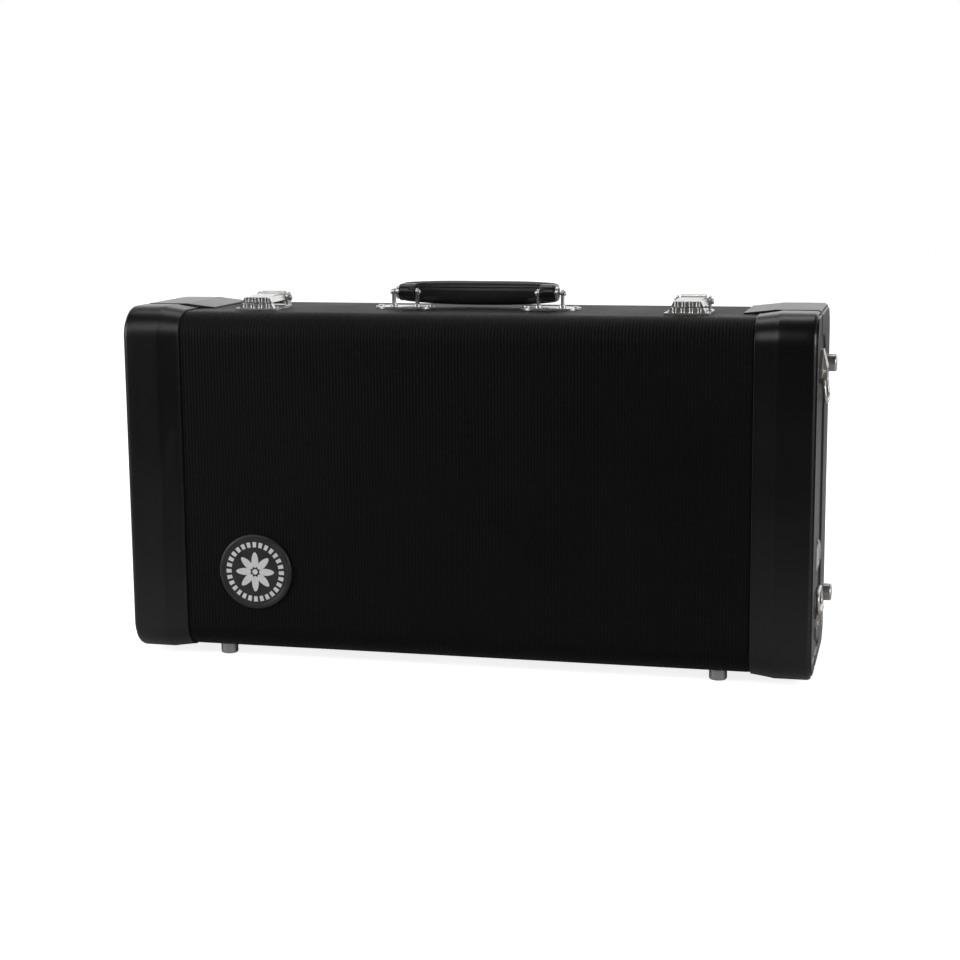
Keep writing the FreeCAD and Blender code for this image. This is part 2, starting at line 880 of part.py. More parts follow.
def handle_core(middle, stations):
    """Steel strip moulded into the grip: along the bar, and to each pin."""
    pin_y, pin_z = handle_axis()
    z0 = pin_z - grip_core_thickness / 2
    z1 = pin_z + grip_core_thickness / 2
    half_width = grip_core_width / 2
    inside = [(x, reach) for x, reach, _, _ in stations if x < middle]
    (x0, y0), (x1, y1) = [(x, reach) for x, reach, _, _ in stations[len(inside) - 1:len(inside) + 1]]
    inside.append((middle, y0 + (y1 - y0) * (middle - x0) / (x1 - x0)))
    line = [(-x, pin_y + reach) for x, reach in reversed(inside[1:])]
    line += [(x, pin_y + reach) for x, reach in inside]
    outline = [(x, y - half_width) for x, y in line] + [(x, y + half_width) for x, y in reversed(line)]
    pieces = [polygon_prism("z", z0, z1, outline)]
    for side in (-1, 1):
        x0, x1 = sorted((side * (middle - half_width), side * (middle + half_width)))
        pieces.append(box(x0, x1, pin_y - half_width, line[0][1] + half_width, z0, z1))
    return fuse(pieces)


def grip_end(x0, x1, reach, radius):
    """Rounded end of the grip round its pin, back into the bar."""
    pin_y, pin_z = handle_axis()
    return rounded_prism("x", x0, x1, pin_y - radius, pin_y + reach, pin_z - radius, pin_z + radius, radius)


def make_handle():
    pin_y, pin_z = handle_axis()
    knuckle_in = handle_ear_inner + handle_ear_thickness / 2 + grip_ear_gap
    knuckle_out = handle_ear_outer - handle_ear_thickness / 2 - grip_end_gap
    stations = grip_stations(knuckle_out)
    half_wires = [grip_section(*station) for station in stations]
    other_half = [grip_section(-x, *sizes) for x, *sizes in reversed(stations[1:])]
    pieces = [Part.makeLoft(other_half + half_wires, True, False)]
    for side in (-1, 1):
        x0, x1 = sorted((side * knuckle_in, side * knuckle_out))
        pieces.append(grip_end(x0, x1, stations[-1][1], grip_knuckle_radius))
    grip = fuse(pieces)
    bore_radius = handle_pin_radius + handle_pin_clearance
    bore = rod("x", -half_length, half_length, pin_y, pin_z, bore_radius)
    core = handle_core((knuckle_in + knuckle_out) / 2, stations)
    ferrules = []
    for side in (-1, 1):
        x0, x1 = sorted((side * (knuckle_out - ferrule_length), side * knuckle_out))
        seat = rod("x", x0, x1, pin_y, pin_z, ferrule_radius)
        grip = grip.cut(seat)
        x0, x1 = sorted((side * (knuckle_out - ferrule_dish), side * (knuckle_out + overrun)))
        dish = rod("x", x0, x1, pin_y, pin_z, ferrule_radius - ferrule_rim)
        ferrules.append(seat.cut(dish).cut(bore))
    save("handle_grip", grip.cut(bore).cut(core))
    save("handle_core", core.cut(bore))
    save("handle_ferrules", *ferrules)
    bracket = handle_bracket()
    save("handle_bracket_right", bracket)
    save("handle_bracket_left", mirrored(bracket))
    pin = handle_pin()
    save("handle_pins", pin, mirrored(pin))
    screws = []
    for x in (handle_plate_low + bracket_screw_inset, handle_plate_high - bracket_screw_inset):
        plate_top = top_face + handle_plate_thickness
        screw = stud("z", plate_top, plate_top + bracket_screw_rise, x, pin_y,
                     bracket_screw_radius, bracket_screw_rise / 2)
        screws += [screw, mirrored(screw)]
    save("handle_bracket_screws", *screws)


# Latches, each made round its own centre line at x = 0 and then set in place


def fluted_block(width, y0, y1, z0, z1):
    """Block with sloping sides and upright round grooves across its front face."""
    half = width / 2
    corners = [(-half, z0), (half, z0), (half - side_slope, z1), (side_slope - half, z1)]
    block = polygon_prism("y", y0, y1, corners)
    pitch = width / (flute_count + 0.5)
    for index in range(flute_count):
        x = (index - (flute_count - 1) / 2) * pitch
        groove = rod("z", z0 - overrun, z1 + overrun, x, y0 + flute_depth - flute_radius, flute_radius)
        block = block.cut(groove)
    return block


def latch_keeper():
    plate_top = top_face + latch_plate_thickness
    half = latch_width / 2
    back = lid_seam - keeper_back_gap
    plate = box(-half, half, seam - keeper_reach, back, top_face, plate_top)
    block_y = seam - keeper_block_reach
    block = fluted_block(
        keeper_block_width, block_y, block_y + keeper_block_depth, plate_top, plate_top + keeper_block_rise,
    )
    lip_y = seam - lip_reach
    lip = box(-hook_width / 2, hook_width / 2, lip_y, lip_y + lip_thickness, plate_top, plate_top + lip_rise)
    return fuse([plate, block, lip])


def latch_axis():
    """Y and Z of the latch pins."""
    return seam + latch_pin_reach, top_face + latch_pin_height


def latch_ear_place():
    """Inner and outer distance of a latch ear from the latch's middle."""
    inner = latch_barrel_width / 2 + latch_ear_gap
    return inner, inner + latch_ear_thickness


def latch_base():
    """Plate with cut rear corners and two upright ears."""
    plate_top = top_face + latch_plate_thickness
    pin_y, pin_z = latch_axis()
    inner, outer = latch_ear_place()
    half = latch_width / 2
    shoulder = seam + base_shoulder_reach
    back = pin_y + latch_ear_radius + base_back_gap
    right_side = [(half, body_seam + base_front_gap), (half, shoulder), (outer, back)]
    outline = right_side + [(-x, y) for x, y in reversed(right_side)]
    pieces = [polygon_prism("z", top_face, plate_top, outline)]
    for side in (-1, 1):
        x0, x1 = sorted((side * inner, side * outer))
        pieces.append(rod("x", x0, x1, pin_y, pin_z, latch_ear_radius))
        pieces.append(box(x0, x1, pin_y - latch_ear_radius, pin_y + latch_ear_radius, top_face, pin_z))
    base = fuse(pieces)
    return base.cut(rod("x", -latch_width, latch_width, pin_y, pin_z, latch_pin_radius))


def latch_pin():
    pin_y, pin_z = latch_axis()
    _, half = latch_ear_place()
    pieces = [rod("x", -half, half, pin_y, pin_z, latch_pin_radius)]
    for side in (-1, 1):
        pieces.append(stud("x", side * half, side * (half + latch_head_rise), pin_y, pin_z,
                           latch_head_radius, latch_head_radius / 2))
    return fuse(pieces)


def latch_lever():
    """Lever with a fluted front, a slightly raised top and a hood round its pin."""
    z0 = top_face + lever_low
    z1 = z0 + lever_thickness
    pin_y, pin_z = latch_axis()
    wide_back = pin_y - latch_ear_radius - lever_wide_gap
    wide = fluted_block(lever_width, seam - lever_front_reach, wide_back, z0, z1)
    neck_half = lever_neck_width / 2
    neck = box(-neck_half, neck_half, wide_back - overrun, pin_y, z0, z1)
    barrel_half = latch_barrel_width / 2
    barrel = rod("x", -barrel_half, barrel_half, pin_y, pin_z, latch_barrel_radius)
    hood = rod("x", -neck_half, neck_half, pin_y, pin_z, hood_radius)
    top_start = seam - lever_top_start
    outline = [
        (top_start, z1 - overrun),
        (top_start, z1),
        (top_start + lever_top_slope, z1 + lever_top_rise),
        (pin_y, z1 + lever_top_rise),
        (pin_y, z1 - overrun),
    ]
    top = polygon_prism("x", -neck_half, neck_half, outline)
    lever = fuse([wide, neck, barrel, hood, top])
    bore_radius = latch_pin_radius + latch_pin_clearance
    return lever.cut(rod("x", -latch_width, latch_width, pin_y, pin_z, bore_radius))


def latch_hook():
    """Catch plate under the lever, hanging in front of the keeper's lip."""
    z1 = top_face + lever_low
    z0 = top_face + latch_plate_thickness + lip_rise + hook_gap
    y0 = seam - hook_reach
    return box(-hook_width / 2, hook_width / 2, y0, y0 + hook_thickness, z0, z1)


def latch_spring():
    """Leaf spring on the base, bowed up towards the lever."""
    z0 = top_face + latch_plate_thickness
    y0 = body_seam + base_front_gap + spring_width / 2
    y1 = y0 + spring_length
    middle = (y0 + y1) / 2
    under = Part.Arc(Vector(0, y0, z0), Vector(0, middle, z0 + spring_rise), Vector(0, y1, z0))
    over = Part.Arc(
        Vector(0, y1, z0 + spring_thickness),
        Vector(0, middle, z0 + spring_rise + spring_thickness),
        Vector(0, y0, z0 + spring_thickness),
    )
    edges = [
        under.toShape(),
        Part.LineSegment(Vector(0, y1, z0), Vector(0, y1, z0 + spring_thickness)).toShape(),
        over.toShape(),
        Part.LineSegment(Vector(0, y0, z0 + spring_thickness), Vector(0, y0, z0)).toShape(),
    ]
    strip = Part.Face(Part.Wire(edges)).extrude(Vector(spring_width, 0, 0))
    strip.translate(Vector(-spring_width / 2, 0, 0))
    return strip


def latch_rivets(side):
    """Rivet heads on the keeper (side -1) or the base (side 1)."""
    plate_top = top_face + latch_plate_thickness
    inset = latch_rivet_radius * 2
    block_back = seam - keeper_block_reach + keeper_block_depth
    row_y = seam + base_shoulder_reach - inset if side > 0 else block_back + inset
    spread = latch_width / 2 - inset
    return [
        stud("z", plate_top, plate_top + latch_rivet_rise, x, row_y, latch_rivet_radius, latch_rivet_rise / 2)
        for x in (-spread, spread)
    ]


def make_latches():
    centres = {"left": -latch_offset, "right": latch_offset}
    makers = {
        "latch_keeper": latch_keeper,
        "latch_base": latch_base,
        "latch_lever": latch_lever,
        "latch_hook": latch_hook,
    }
    for name, maker in makers.items():
        piece = maker()
        for end, x in centres.items():
            save(name + "_" + end, piece.translated(Vector(x, 0, 0)))
    groups = {
        "latch_pins": [latch_pin()],
        "latch_springs": [latch_spring()],
        "keeper_rivets": latch_rivets(-1),
        "latch_base_rivets": latch_rivets(1),
    }
    for name, pieces in groups.items():
        save(name, *[p.translated(Vector(x, 0, 0)) for p in pieces for x in centres.values()])


# Strap plates and rings


def strap_eye():
    """X of the ring's eye and half of the eye's width along Y."""
    eye_x = panel_plane + strap_plate_thickness + strap_roll_lift
    return eye_x, strap_width / 2 - ring_corner - ring_wire_radius


def strap_outline(half, z_edge, z_mid, z_tip):
    """Outline of a strap plate: straight sides that draw in to a blunt tip."""
    point = strap_point_width / 2
    right_side = [(half, z_edge), (half, z_mid), (point, z_tip)]
    left_side = [(-y, z) for y, z in reversed(right_side)]
    return [(strap_y + y, z) for y, z in right_side + left_side]


def strap_plate(roll_height, up):
    """Riveted flange with a wedge on its middle that ends in the ring's rolled eye."""
    eye_x, eye_half = strap_eye()
    y0 = strap_y - eye_half
    y1 = strap_y + eye_half
    flange_x = panel_plane + strap_plate_thickness
    boss_x = panel_plane + strap_boss_rise
    z_edge = roll_height + up * (strap_roll_radius + strap_roll_gap)
    z_mid = z_edge + up * strap_body_height
    z_tip = z_mid + up * strap_point_height
    outline = strap_outline(strap_width / 2, z_edge, z_mid, z_tip)
    flange = polygon_prism("x", panel_plane, flange_x, outline)
    profile = [(panel_plane, roll_height), (boss_x, roll_height), (boss_x, z_mid),
               (flange_x, z_tip), (panel_plane, z_tip)]
    wedge = polygon_prism("y", y0, y1, profile)
    outline = strap_outline(eye_half, roll_height, z_mid, z_tip)
    wedge = wedge.common(polygon_prism("x", panel_plane, boss_x + overrun, outline))
    eye = rod("y", y0, y1, eye_x, roll_height, strap_roll_radius)
    plate = fuse([flange, wedge, eye])
    slot_start = z_edge + up * strap_slot_start
    z0, z1 = sorted((slot_start, slot_start + up * strap_slot_height))
    plate = plate.cut(box(flange_x + strap_slot_floor, boss_x + overrun, y0, y1, z0, z1))
    bore_radius = ring_wire_radius + ring_clearance
    return plate.cut(rod("y", y0 - overrun, y1 + overrun, eye_x, roll_height, bore_radius))


def strap_ring(roll_height, direction_up):
    """Wire ring through the rolled eye: the upper one hangs and stands off a little,
    the lower one is turned up and leans on the end."""
    y = strap_y
    eye_x, _ = strap_eye()
    half = strap_width / 2 - ring_wire_radius
    z_far = roll_height - direction_up * ring_reach
    z0, z1 = sorted((roll_height, z_far))
    corner = ring_corner
    bend = corner * (1 - math.sqrt(0.5))
    points = [
        [(y - half + corner, z0), (y + half - corner, z0), (y + half - bend, z0 + bend)],
        [(y + half, z0 + corner), (y + half, z1 - corner), (y + half - bend, z1 - bend)],
        [(y + half - corner, z1), (y - half + corner, z1), (y - half + bend, z1 - bend)],
        [(y - half, z1 - corner), (y - half, z0 + corner), (y - half + bend, z0 + bend)],
    ]
    edges = []
    for index, (line_start, line_end, middle) in enumerate(points):
        next_start = points[(index + 1) % len(points)][0]
        a, b, c, d = [Vector(eye_x, *p) for p in (line_start, line_end, middle, next_start)]
        edges.append(Part.LineSegment(a, b).toShape())
        edges.append(Part.Arc(b, c, d).toShape())
    path = Part.Wire(edges)
    start = Vector(eye_x, y - half + corner, z0)
    profile = Part.Wire([Part.Circle(start, Vector(0, 1, 0), ring_wire_radius).toShape()])
    ring = path.makePipeShell([profile], True, False)
    degrees = -ring_hang_degrees if direction_up > 0 else -ring_lean_degrees
    return turned(ring, Vector(eye_x, y, roll_height), Vector(0, 1, 0), degrees)


def make_strap_hardware():
    plates = []
    rivets = []
    plate_height = strap_roll_radius + strap_roll_gap + strap_body_height + strap_point_height
    places = {
        "upper": (panel_high - strap_top_gap - plate_height, 1),
        "lower": (panel_low + strap_low_gap + plate_height, -1),
    }
    for name, (roll_height, up) in places.items():
        plate = strap_plate(roll_height, up)
        plates += [plate, mirrored(plate)]
        ring = strap_ring(roll_height, up)
        save("strap_ring_right_" + name, ring)
        save("strap_ring_left_" + name, mirrored(ring))
        y = strap_y
        z_mid = roll_height + up * (strap_roll_radius + strap_roll_gap + strap_body_height)
        rivet_y = strap_width / 2 - strap_rivet_radius * 2
        seats = [(y + side * rivet_y, z_mid - up * strap_rivet_radius) for side in (-1, 1)]
        seat_x = panel_plane + strap_plate_thickness
        for seat_y, seat_z in seats:
            rivet = stud("x", seat_x, seat_x + strap_rivet_rise, seat_y, seat_z,
                         strap_rivet_radius, strap_rivet_rise / 2)
            rivets += [rivet, mirrored(rivet)]
    save("strap_plates", *plates)
    save("strap_plate_rivets", *rivets)


# Card pocket


def bowed_sheet(y0, y1, z0, z1, base_x, bulge, thickness):
    """Sheet on the end panel, bowed outwards between its upper and lower edges."""
    middle = (z0 + z1) / 2
    inner = Part.Arc(Vector(base_x, y0, z0), Vector(base_x + bulge, y0, middle), Vector(base_x, y0, z1))
    outer = Part.Arc(
        Vector(base_x + thickness, y0, z1),
        Vector(base_x + bulge + thickness, y0, middle),
        Vector(base_x + thickness, y0, z0),
    )
    edges = [
        inner.toShape(),
        Part.LineSegment(Vector(base_x, y0, z1), Vector(base_x + thickness, y0, z1)).toShape(),
        outer.toShape(),
        Part.LineSegment(Vector(base_x + thickness, y0, z0), Vector(base_x, y0, z0)).toShape(),
    ]
    return Part.Face(Part.Wire(edges)).extrude(Vector(0, y1 - y0, 0))


def make_card_pocket():
    y0 = seam + pocket_seam_gap
    y1 = panel_rear - pocket_side_gap
    z0 = low + pocket_low
    z1 = z0 + pocket_height
    card = box(panel_plane, panel_plane + card_thickness, y0 + card_margin, y1 - card_margin,
               z0 + card_margin, z1 - pocket_cut_height)
    window = bowed_sheet(y0, y1, z0, z1, panel_plane, pocket_bulge, pocket_thickness)
    corner = polygon_prism("x", panel_plane - overrun, half_length, [
        (y1 + overrun, z1 - pocket_cut_height), (y1 + overrun, z1 + overrun),
        (y1 - pocket_cut_width, z1 + overrun), (y1 - pocket_cut_width, z1),
    ])
    save("card_window", window.cut(corner))
    save("name_card", card)


make_caps()
make_shells()
make_insert()
make_accessory_box()
make_accessory_lid()
make_mouthpiece_holder()
make_lid_pad()
make_hinges()
make_feet()
make_badge()
make_handle()
make_latches()
make_strap_hardware()
make_card_pocket()
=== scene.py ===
import json
import math

import bmesh
import bpy
from mathutils import Matrix, Vector, noise


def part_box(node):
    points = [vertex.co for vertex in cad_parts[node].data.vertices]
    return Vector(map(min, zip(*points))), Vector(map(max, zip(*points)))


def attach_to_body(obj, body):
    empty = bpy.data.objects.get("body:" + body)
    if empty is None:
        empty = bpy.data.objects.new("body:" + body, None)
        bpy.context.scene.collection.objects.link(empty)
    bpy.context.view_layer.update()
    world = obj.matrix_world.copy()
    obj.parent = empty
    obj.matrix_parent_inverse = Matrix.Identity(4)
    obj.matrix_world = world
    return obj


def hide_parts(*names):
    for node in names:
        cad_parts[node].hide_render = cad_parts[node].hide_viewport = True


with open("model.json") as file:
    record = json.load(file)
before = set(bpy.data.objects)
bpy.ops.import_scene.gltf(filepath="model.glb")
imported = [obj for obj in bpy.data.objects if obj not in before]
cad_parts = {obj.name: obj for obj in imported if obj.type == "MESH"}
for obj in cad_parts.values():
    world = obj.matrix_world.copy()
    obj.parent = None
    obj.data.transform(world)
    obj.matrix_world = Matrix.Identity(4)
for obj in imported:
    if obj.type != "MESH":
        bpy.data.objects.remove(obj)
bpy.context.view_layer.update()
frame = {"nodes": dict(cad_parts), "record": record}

MM = 0.001

# Sizes read from the frame

CAP_LOW, CAP_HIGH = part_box("lid_cap_right")
BODY_CAP_LOW, BODY_CAP_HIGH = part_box("body_cap_right")
COVER_LOW, COVER_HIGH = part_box("lid_cover")
HALF_LENGTH = CAP_HIGH.x
FRONT = CAP_LOW.y
REAR = BODY_CAP_HIGH.y
LOW = CAP_LOW.z
HIGH = CAP_HIGH.z
LID_SEAM = CAP_HIGH.y
BODY_SEAM = BODY_CAP_LOW.y
LID_CAP_EDGE = CAP_LOW.x
BODY_CAP_EDGE = BODY_CAP_LOW.x
CAP_WALL = COVER_LOW.y - FRONT
SHELL_END = COVER_HIGH.x

# Finishing sizes

EDGE_RADIUS = 24 * MM
END_EDGE = 4.5 * MM
LID_FLAT = 30 * MM
BODY_FLAT = 37 * MM
EDGE_STEP = 1.1 * MM
PANEL_FRONT_RIM = 6.5 * MM
PANEL_REAR_RIM = 54 * MM
PANEL_LOW_RIM = 12 * MM
PANEL_HIGH_RIM = 20 * MM
PANEL_CORNER = 20 * MM
# Over each RUN next to the seam a cap's outside falls by FALL, but SLEEVE_LEFT of its sleeve stays
LID_SEAM_RUN = 9 * MM
LID_SEAM_FALL = 1.6 * MM
BODY_SEAM_RUN = 0.5 * MM
BODY_SEAM_FALL = 0.2 * MM
SLEEVE_LEFT = 0.3 * MM
COVER_THICKNESS = 1.2 * MM
COVER_TUCK = 6 * MM
COVER_DRAW = 0.25 * MM
COVER_DRAW_RUN = 5 * MM
COVER_SWELL = 0.22 * MM
COVER_SWELL_SCALE = 9
COVER_STATIONS = 150
RIB_PITCH = 2.6 * MM


# Node material helpers


class Shader:
    """A material with short calls for the nodes that it uses."""

    def __init__(self, name, color, roughness, metallic=0.0):
        self.material = bpy.data.materials.new(name)
        self.material.use_nodes = True
        self.tree = self.material.node_tree
        self.bsdf = self.tree.nodes["Principled BSDF"]
        self.bsdf.inputs["Base Color"].default_value = (*color, 1.0)
        self.bsdf.inputs["Roughness"].default_value = roughness
        self.bsdf.inputs["Metallic"].default_value = metallic
        self.coords = self.tree.nodes.new("ShaderNodeTexCoord").outputs["Object"]

    def link(self, output, target):
        self.tree.links.new(output, target)

    def set(self, values):
        for name, value in values.items():
            self.bsdf.inputs[name].default_value = value

    def math(self, operation, first, second=0.0, third=0.0):
        node = self.tree.nodes.new("ShaderNodeMath")
        node.operation = operation
        for socket, value in zip(node.inputs, (first, second, third)):
            if isinstance(value, (int, float)):
                socket.default_value = value
            else:
                self.link(value, socket)
        return node.outputs[0]

    def axes(self):
        node = self.tree.nodes.new("ShaderNodeSeparateXYZ")
        self.link(self.coords, node.inputs[0])
        return node.outputs

    def noise(self, scale, detail=2.0, stretch=None, distortion=0.0):
        node = self.tree.nodes.new("ShaderNodeTexNoise")
        node.inputs["Scale"].default_value = scale
        node.inputs["Detail"].default_value = detail
        node.inputs["Distortion"].default_value = distortion
        self.link(self.stretched(stretch), node.inputs["Vector"])
        return node.outputs["Fac"]

    def voronoi(self, scale, feature="F1"):
        node = self.tree.nodes.new("ShaderNodeTexVoronoi")
        node.feature = feature
        node.inputs["Scale"].default_value = scale
        self.link(self.coords, node.inputs["Vector"])
        return node.outputs["Distance"]

    def stretched(self, stretch):
        if stretch is None:
            return self.coords
        node = self.tree.nodes.new("ShaderNodeMapping")
        node.inputs["Scale"].default_value = stretch
        self.link(self.coords, node.inputs["Vector"])
        return node.outputs[0]

    def wave(self, value, pitch):
        return self.math("SINE", self.math("MULTIPLY", value, 2 * math.pi / pitch))

    def span(self, value, low, high, to_low, to_high):
        node = self.tree.nodes.new("ShaderNodeMapRange")
        self.link(value, node.inputs["Value"])
        for name, number in (("From Min", low), ("From Max", high), ("To Min", to_low), ("To Max", to_high)):
            node.inputs[name].default_value = number
        return node.outputs[0]

    def mix(self, factor, first, second):
        node = self.tree.nodes.new("ShaderNodeMix")
        node.data_type = "RGBA"
        self.link(factor, node.inputs["Factor"])
        for socket, value in ((node.inputs[6], first), (node.inputs[7], second)):
            if isinstance(value, tuple):
                socket.default_value = (*value, 1.0)
            else:
                self.link(value, socket)
        return node.outputs[2]

    def color(self, output):
        self.link(output, self.bsdf.inputs["Base Color"])

    def roughness(self, output):
        self.link(output, self.bsdf.inputs["Roughness"])

    def bump(self, height, strength, distance):
        node = self.tree.nodes.new("ShaderNodeBump")
        node.inputs["Strength"].default_value = strength
        node.inputs["Distance"].default_value = distance
        self.link(height, node.inputs["Height"])
        previous = self.bsdf.inputs["Normal"].links
        if previous:
            self.link(previous[0].from_socket, node.inputs["Normal"])
        self.link(node.outputs[0], self.bsdf.inputs["Normal"])


# Materials


PLATE_METALLIC = 0.86


def cover_cloth():
    """Black nylon with fine upright ribs that are broken into short stitches."""
    s = Shader("cover_cloth", (0.006, 0.006, 0.0065), 0.5)
    x, y, z = s.axes()
    along = s.math("ADD", y, z)
    rib = s.wave(x, RIB_PITCH)
    shifted = s.math("ADD", along, s.math("MULTIPLY", x, 0.5))
    row = s.wave(shifted, RIB_PITCH * 0.8)
    weave = s.math("ADD", s.math("MULTIPLY", rib, 0.65), s.math("MULTIPLY", row, 0.35))
    cloud = s.noise(14, 4)
    fleck = s.noise(900, 2, (1.0, 0.25, 0.25))
    tone = s.math("ADD", s.math("MULTIPLY", weave, 0.6), s.math("MULTIPLY", cloud, 0.3))
    tone = s.math("ADD", tone, s.math("MULTIPLY", fleck, 0.4))
    s.color(s.mix(s.span(tone, 0.0, 1.0, 0.0, 1.0), (0.0006, 0.0006, 0.0007), (0.0048, 0.005, 0.0055)))
    s.roughness(s.span(cloud, 0.3, 0.7, 0.46, 0.58))
    s.set({"Specular IOR Level": 0.14})
    s.bump(cloud, 0.2, 0.6 * MM)
    s.bump(fleck, 0.2, 0.06 * MM)
    s.bump(weave, 0.9, 0.2 * MM)
    return s.material


def cap_plastic():
    """Dark satin moulded plastic with a fine grain and faint handling marks."""
    s = Shader("cap_plastic", (0.012, 0.012, 0.013), 0.34)
    grain = s.noise(2600, 2)
    cloud = s.noise(9, 3)
    scuff = s.noise(60, 5, (1.0, 1.0, 0.12), 1.5)
    s.color(s.mix(s.span(cloud, 0.3, 0.7, 0.0, 1.0), (0.0048, 0.0048, 0.0051), (0.0072, 0.0072, 0.0076)))
    rough = s.math("ADD", s.span(cloud, 0.3, 0.7, 0.29, 0.36), s.span(scuff, 0.62, 0.75, 0.0, 0.09))
    s.roughness(rough)
    s.bump(cloud, 0.12, 1.2 * MM)
    s.bump(grain, 0.16, 0.05 * MM)
    return s.material


def grip_plastic():
    """Semi-gloss black moulding with a faint flow texture along it."""
    s = Shader("grip_plastic", (0.013, 0.013, 0.014), 0.3)
    flow = s.noise(45, 4, (0.2, 1.0, 1.0), 0.6)
    grain = s.noise(1800, 2)
    s.color(s.mix(s.span(flow, 0.3, 0.7, 0.0, 1.0), (0.008, 0.008, 0.009), (0.02, 0.02, 0.022)))
    s.roughness(s.span(flow, 0.3, 0.7, 0.24, 0.4))
    s.bump(flow, 0.25, 0.5 * MM)
    s.bump(grain, 0.12, 0.04 * MM)
    return s.material


def bright_metal(name, color, roughness, wear):
    """Plated metal: shallow dents, fine polish lines and duller patches."""
    s = Shader(name, color, roughness, PLATE_METALLIC)
    polish = s.noise(1500, 2, (0.08, 1.0, 1.0))
    dull = s.noise(120, 4)
    dent = s.noise(180, 2)
    dark = tuple(c * (1 - wear) for c in color)
    s.color(s.mix(s.span(dull, 0.5, 0.8, 0.0, 1.0), color, dark))
    base = s.span(dull, 0.4, 0.8, roughness, roughness + 0.1)
    s.roughness(s.math("ADD", base, s.span(polish, 0.4, 0.6, 0.0, 0.03)))
    s.bump(dent, 0.05, 0.06 * MM)
    s.bump(polish, 0.04, 0.02 * MM)
    return s.material


def rim_metal():
    """Satin drawn aluminium, with lines along each strip."""
    s = Shader("rim_metal", (0.62, 0.62, 0.64), 0.34, 1.0)
    lines = s.noise(1400, 3, (0.05, 1.0, 1.0))
    cloud = s.noise(40, 3)
    s.color(s.mix(s.span(cloud, 0.35, 0.7, 0.0, 1.0), (0.66, 0.66, 0.68), (0.5, 0.5, 0.52)))
    s.roughness(s.span(lines, 0.3, 0.7, 0.26, 0.42))
    s.bump(lines, 0.12, 0.05 * MM)
    return s.material


def plush(name, dark, light):
    """Short pile: soft patches brushed two ways, with a fuzzy surface."""
    s = Shader(name, dark, 0.95)
    brushed = s.noise(22, 4, None, 1.2)
    pile = s.noise(1300, 3)
    tuft = s.voronoi(700)
    tone = s.math("ADD", s.math("MULTIPLY", brushed, 0.75), s.math("MULTIPLY", pile, 0.4))
    s.color(s.mix(s.span(tone, 0.35, 0.85, 0.0, 1.0), dark, light))
    s.set({"Sheen Weight": 0.6, "Sheen Roughness": 0.4, "Specular IOR Level": 0.15})
    s.roughness(s.span(brushed, 0.3, 0.7, 0.85, 1.0))
    s.bump(brushed, 0.4, 1.2 * MM)
    s.bump(tuft, 0.5, 0.35 * MM)
    s.bump(pile, 0.6, 0.25 * MM)
    return s.material


def shell_board():
    """Brown pressed board with short fibres."""
    s = Shader("shell_board", (0.3, 0.22, 0.14), 0.8)
    fibre = s.noise(220, 5, (1.0, 0.3, 1.0), 0.8)
    s.color(s.mix(s.span(fibre, 0.3, 0.7, 0.0, 1.0), (0.2, 0.145, 0.09), (0.4, 0.3, 0.2)))
    s.roughness(s.span(fibre, 0.3, 0.7, 0.7, 0.9))
    s.bump(fibre, 0.3, 0.2 * MM)
    return s.material


def webbing():
    """Woven black tape with a twill."""
    s = Shader("webbing", (0.02, 0.02, 0.02), 0.8)
    x, y, z = s.axes()
    twill = s.wave(s.math("ADD", x, s.math("ADD", y, z)), 1.2 * MM)
    fuzz = s.noise(1600, 2)
    s.color(s.mix(s.span(twill, -1.0, 1.0, 0.0, 1.0), (0.012, 0.012, 0.012), (0.035, 0.035, 0.036)))
    s.roughness(s.span(fuzz, 0.3, 0.7, 0.7, 0.9))
    s.set({"Sheen Weight": 0.2})
    s.bump(twill, 0.5, 0.2 * MM)
    s.bump(fuzz, 0.3, 0.1 * MM)
    return s.material


def clear_vinyl():
    """Thin clear film: mostly see-through, greyer where it is scuffed."""
    s = Shader("clear_vinyl", (0.8, 0.84, 0.84), 0.16)
    ripple = s.noise(70, 3)
    scuff = s.noise(420, 3)
    s.color(s.mix(ripple, (0.62, 0.66, 0.67), (0.84, 0.86, 0.86)))
    s.roughness(s.span(ripple, 0.3, 0.7, 0.1, 0.26))
    s.link(s.span(scuff, 0.35, 0.7, 0.16, 0.34), s.bsdf.inputs["Alpha"])
    s.bump(ripple, 0.35, 0.8 * MM)
    return s.material


def card_stock():
    """Plain off-white card with soft fibres."""
    s = Shader("card_stock", (0.7, 0.7, 0.66), 0.85)
    fibre = s.noise(500, 4)
    s.color(s.mix(s.span(fibre, 0.3, 0.7, 0.0, 1.0), (0.66, 0.655, 0.62), (0.78, 0.775, 0.75)))
    s.roughness(s.span(fibre, 0.3, 0.7, 0.78, 0.92))
    s.bump(fibre, 0.15, 0.05 * MM)
    return s.material


def badge_face():
    """Charcoal enamel of the badge."""
    s = Shader("badge_face", (0.03, 0.03, 0.03), 0.38)
    cloud = s.noise(80, 3)
    grain = s.noise(2200, 2)
    s.color(s.mix(s.span(cloud, 0.3, 0.7, 0.0, 1.0), (0.022, 0.022, 0.022), (0.034, 0.033, 0.032)))
    s.roughness(s.span(cloud, 0.3, 0.7, 0.32, 0.46))
    s.bump(grain, 0.15, 0.04 * MM)
    return s.material


def badge_paint():
    """Raised silver-white print of the badge."""
    s = Shader("badge_paint", (0.72, 0.72, 0.72), 0.42)
    cloud = s.noise(300, 3)
    s.color(s.mix(s.span(cloud, 0.3, 0.7, 0.0, 1.0), (0.8, 0.8, 0.8), (0.9, 0.9, 0.9)))
    s.roughness(s.span(cloud, 0.3, 0.7, 0.36, 0.5))
    s.bump(cloud, 0.1, 0.05 * MM)
    return s.material


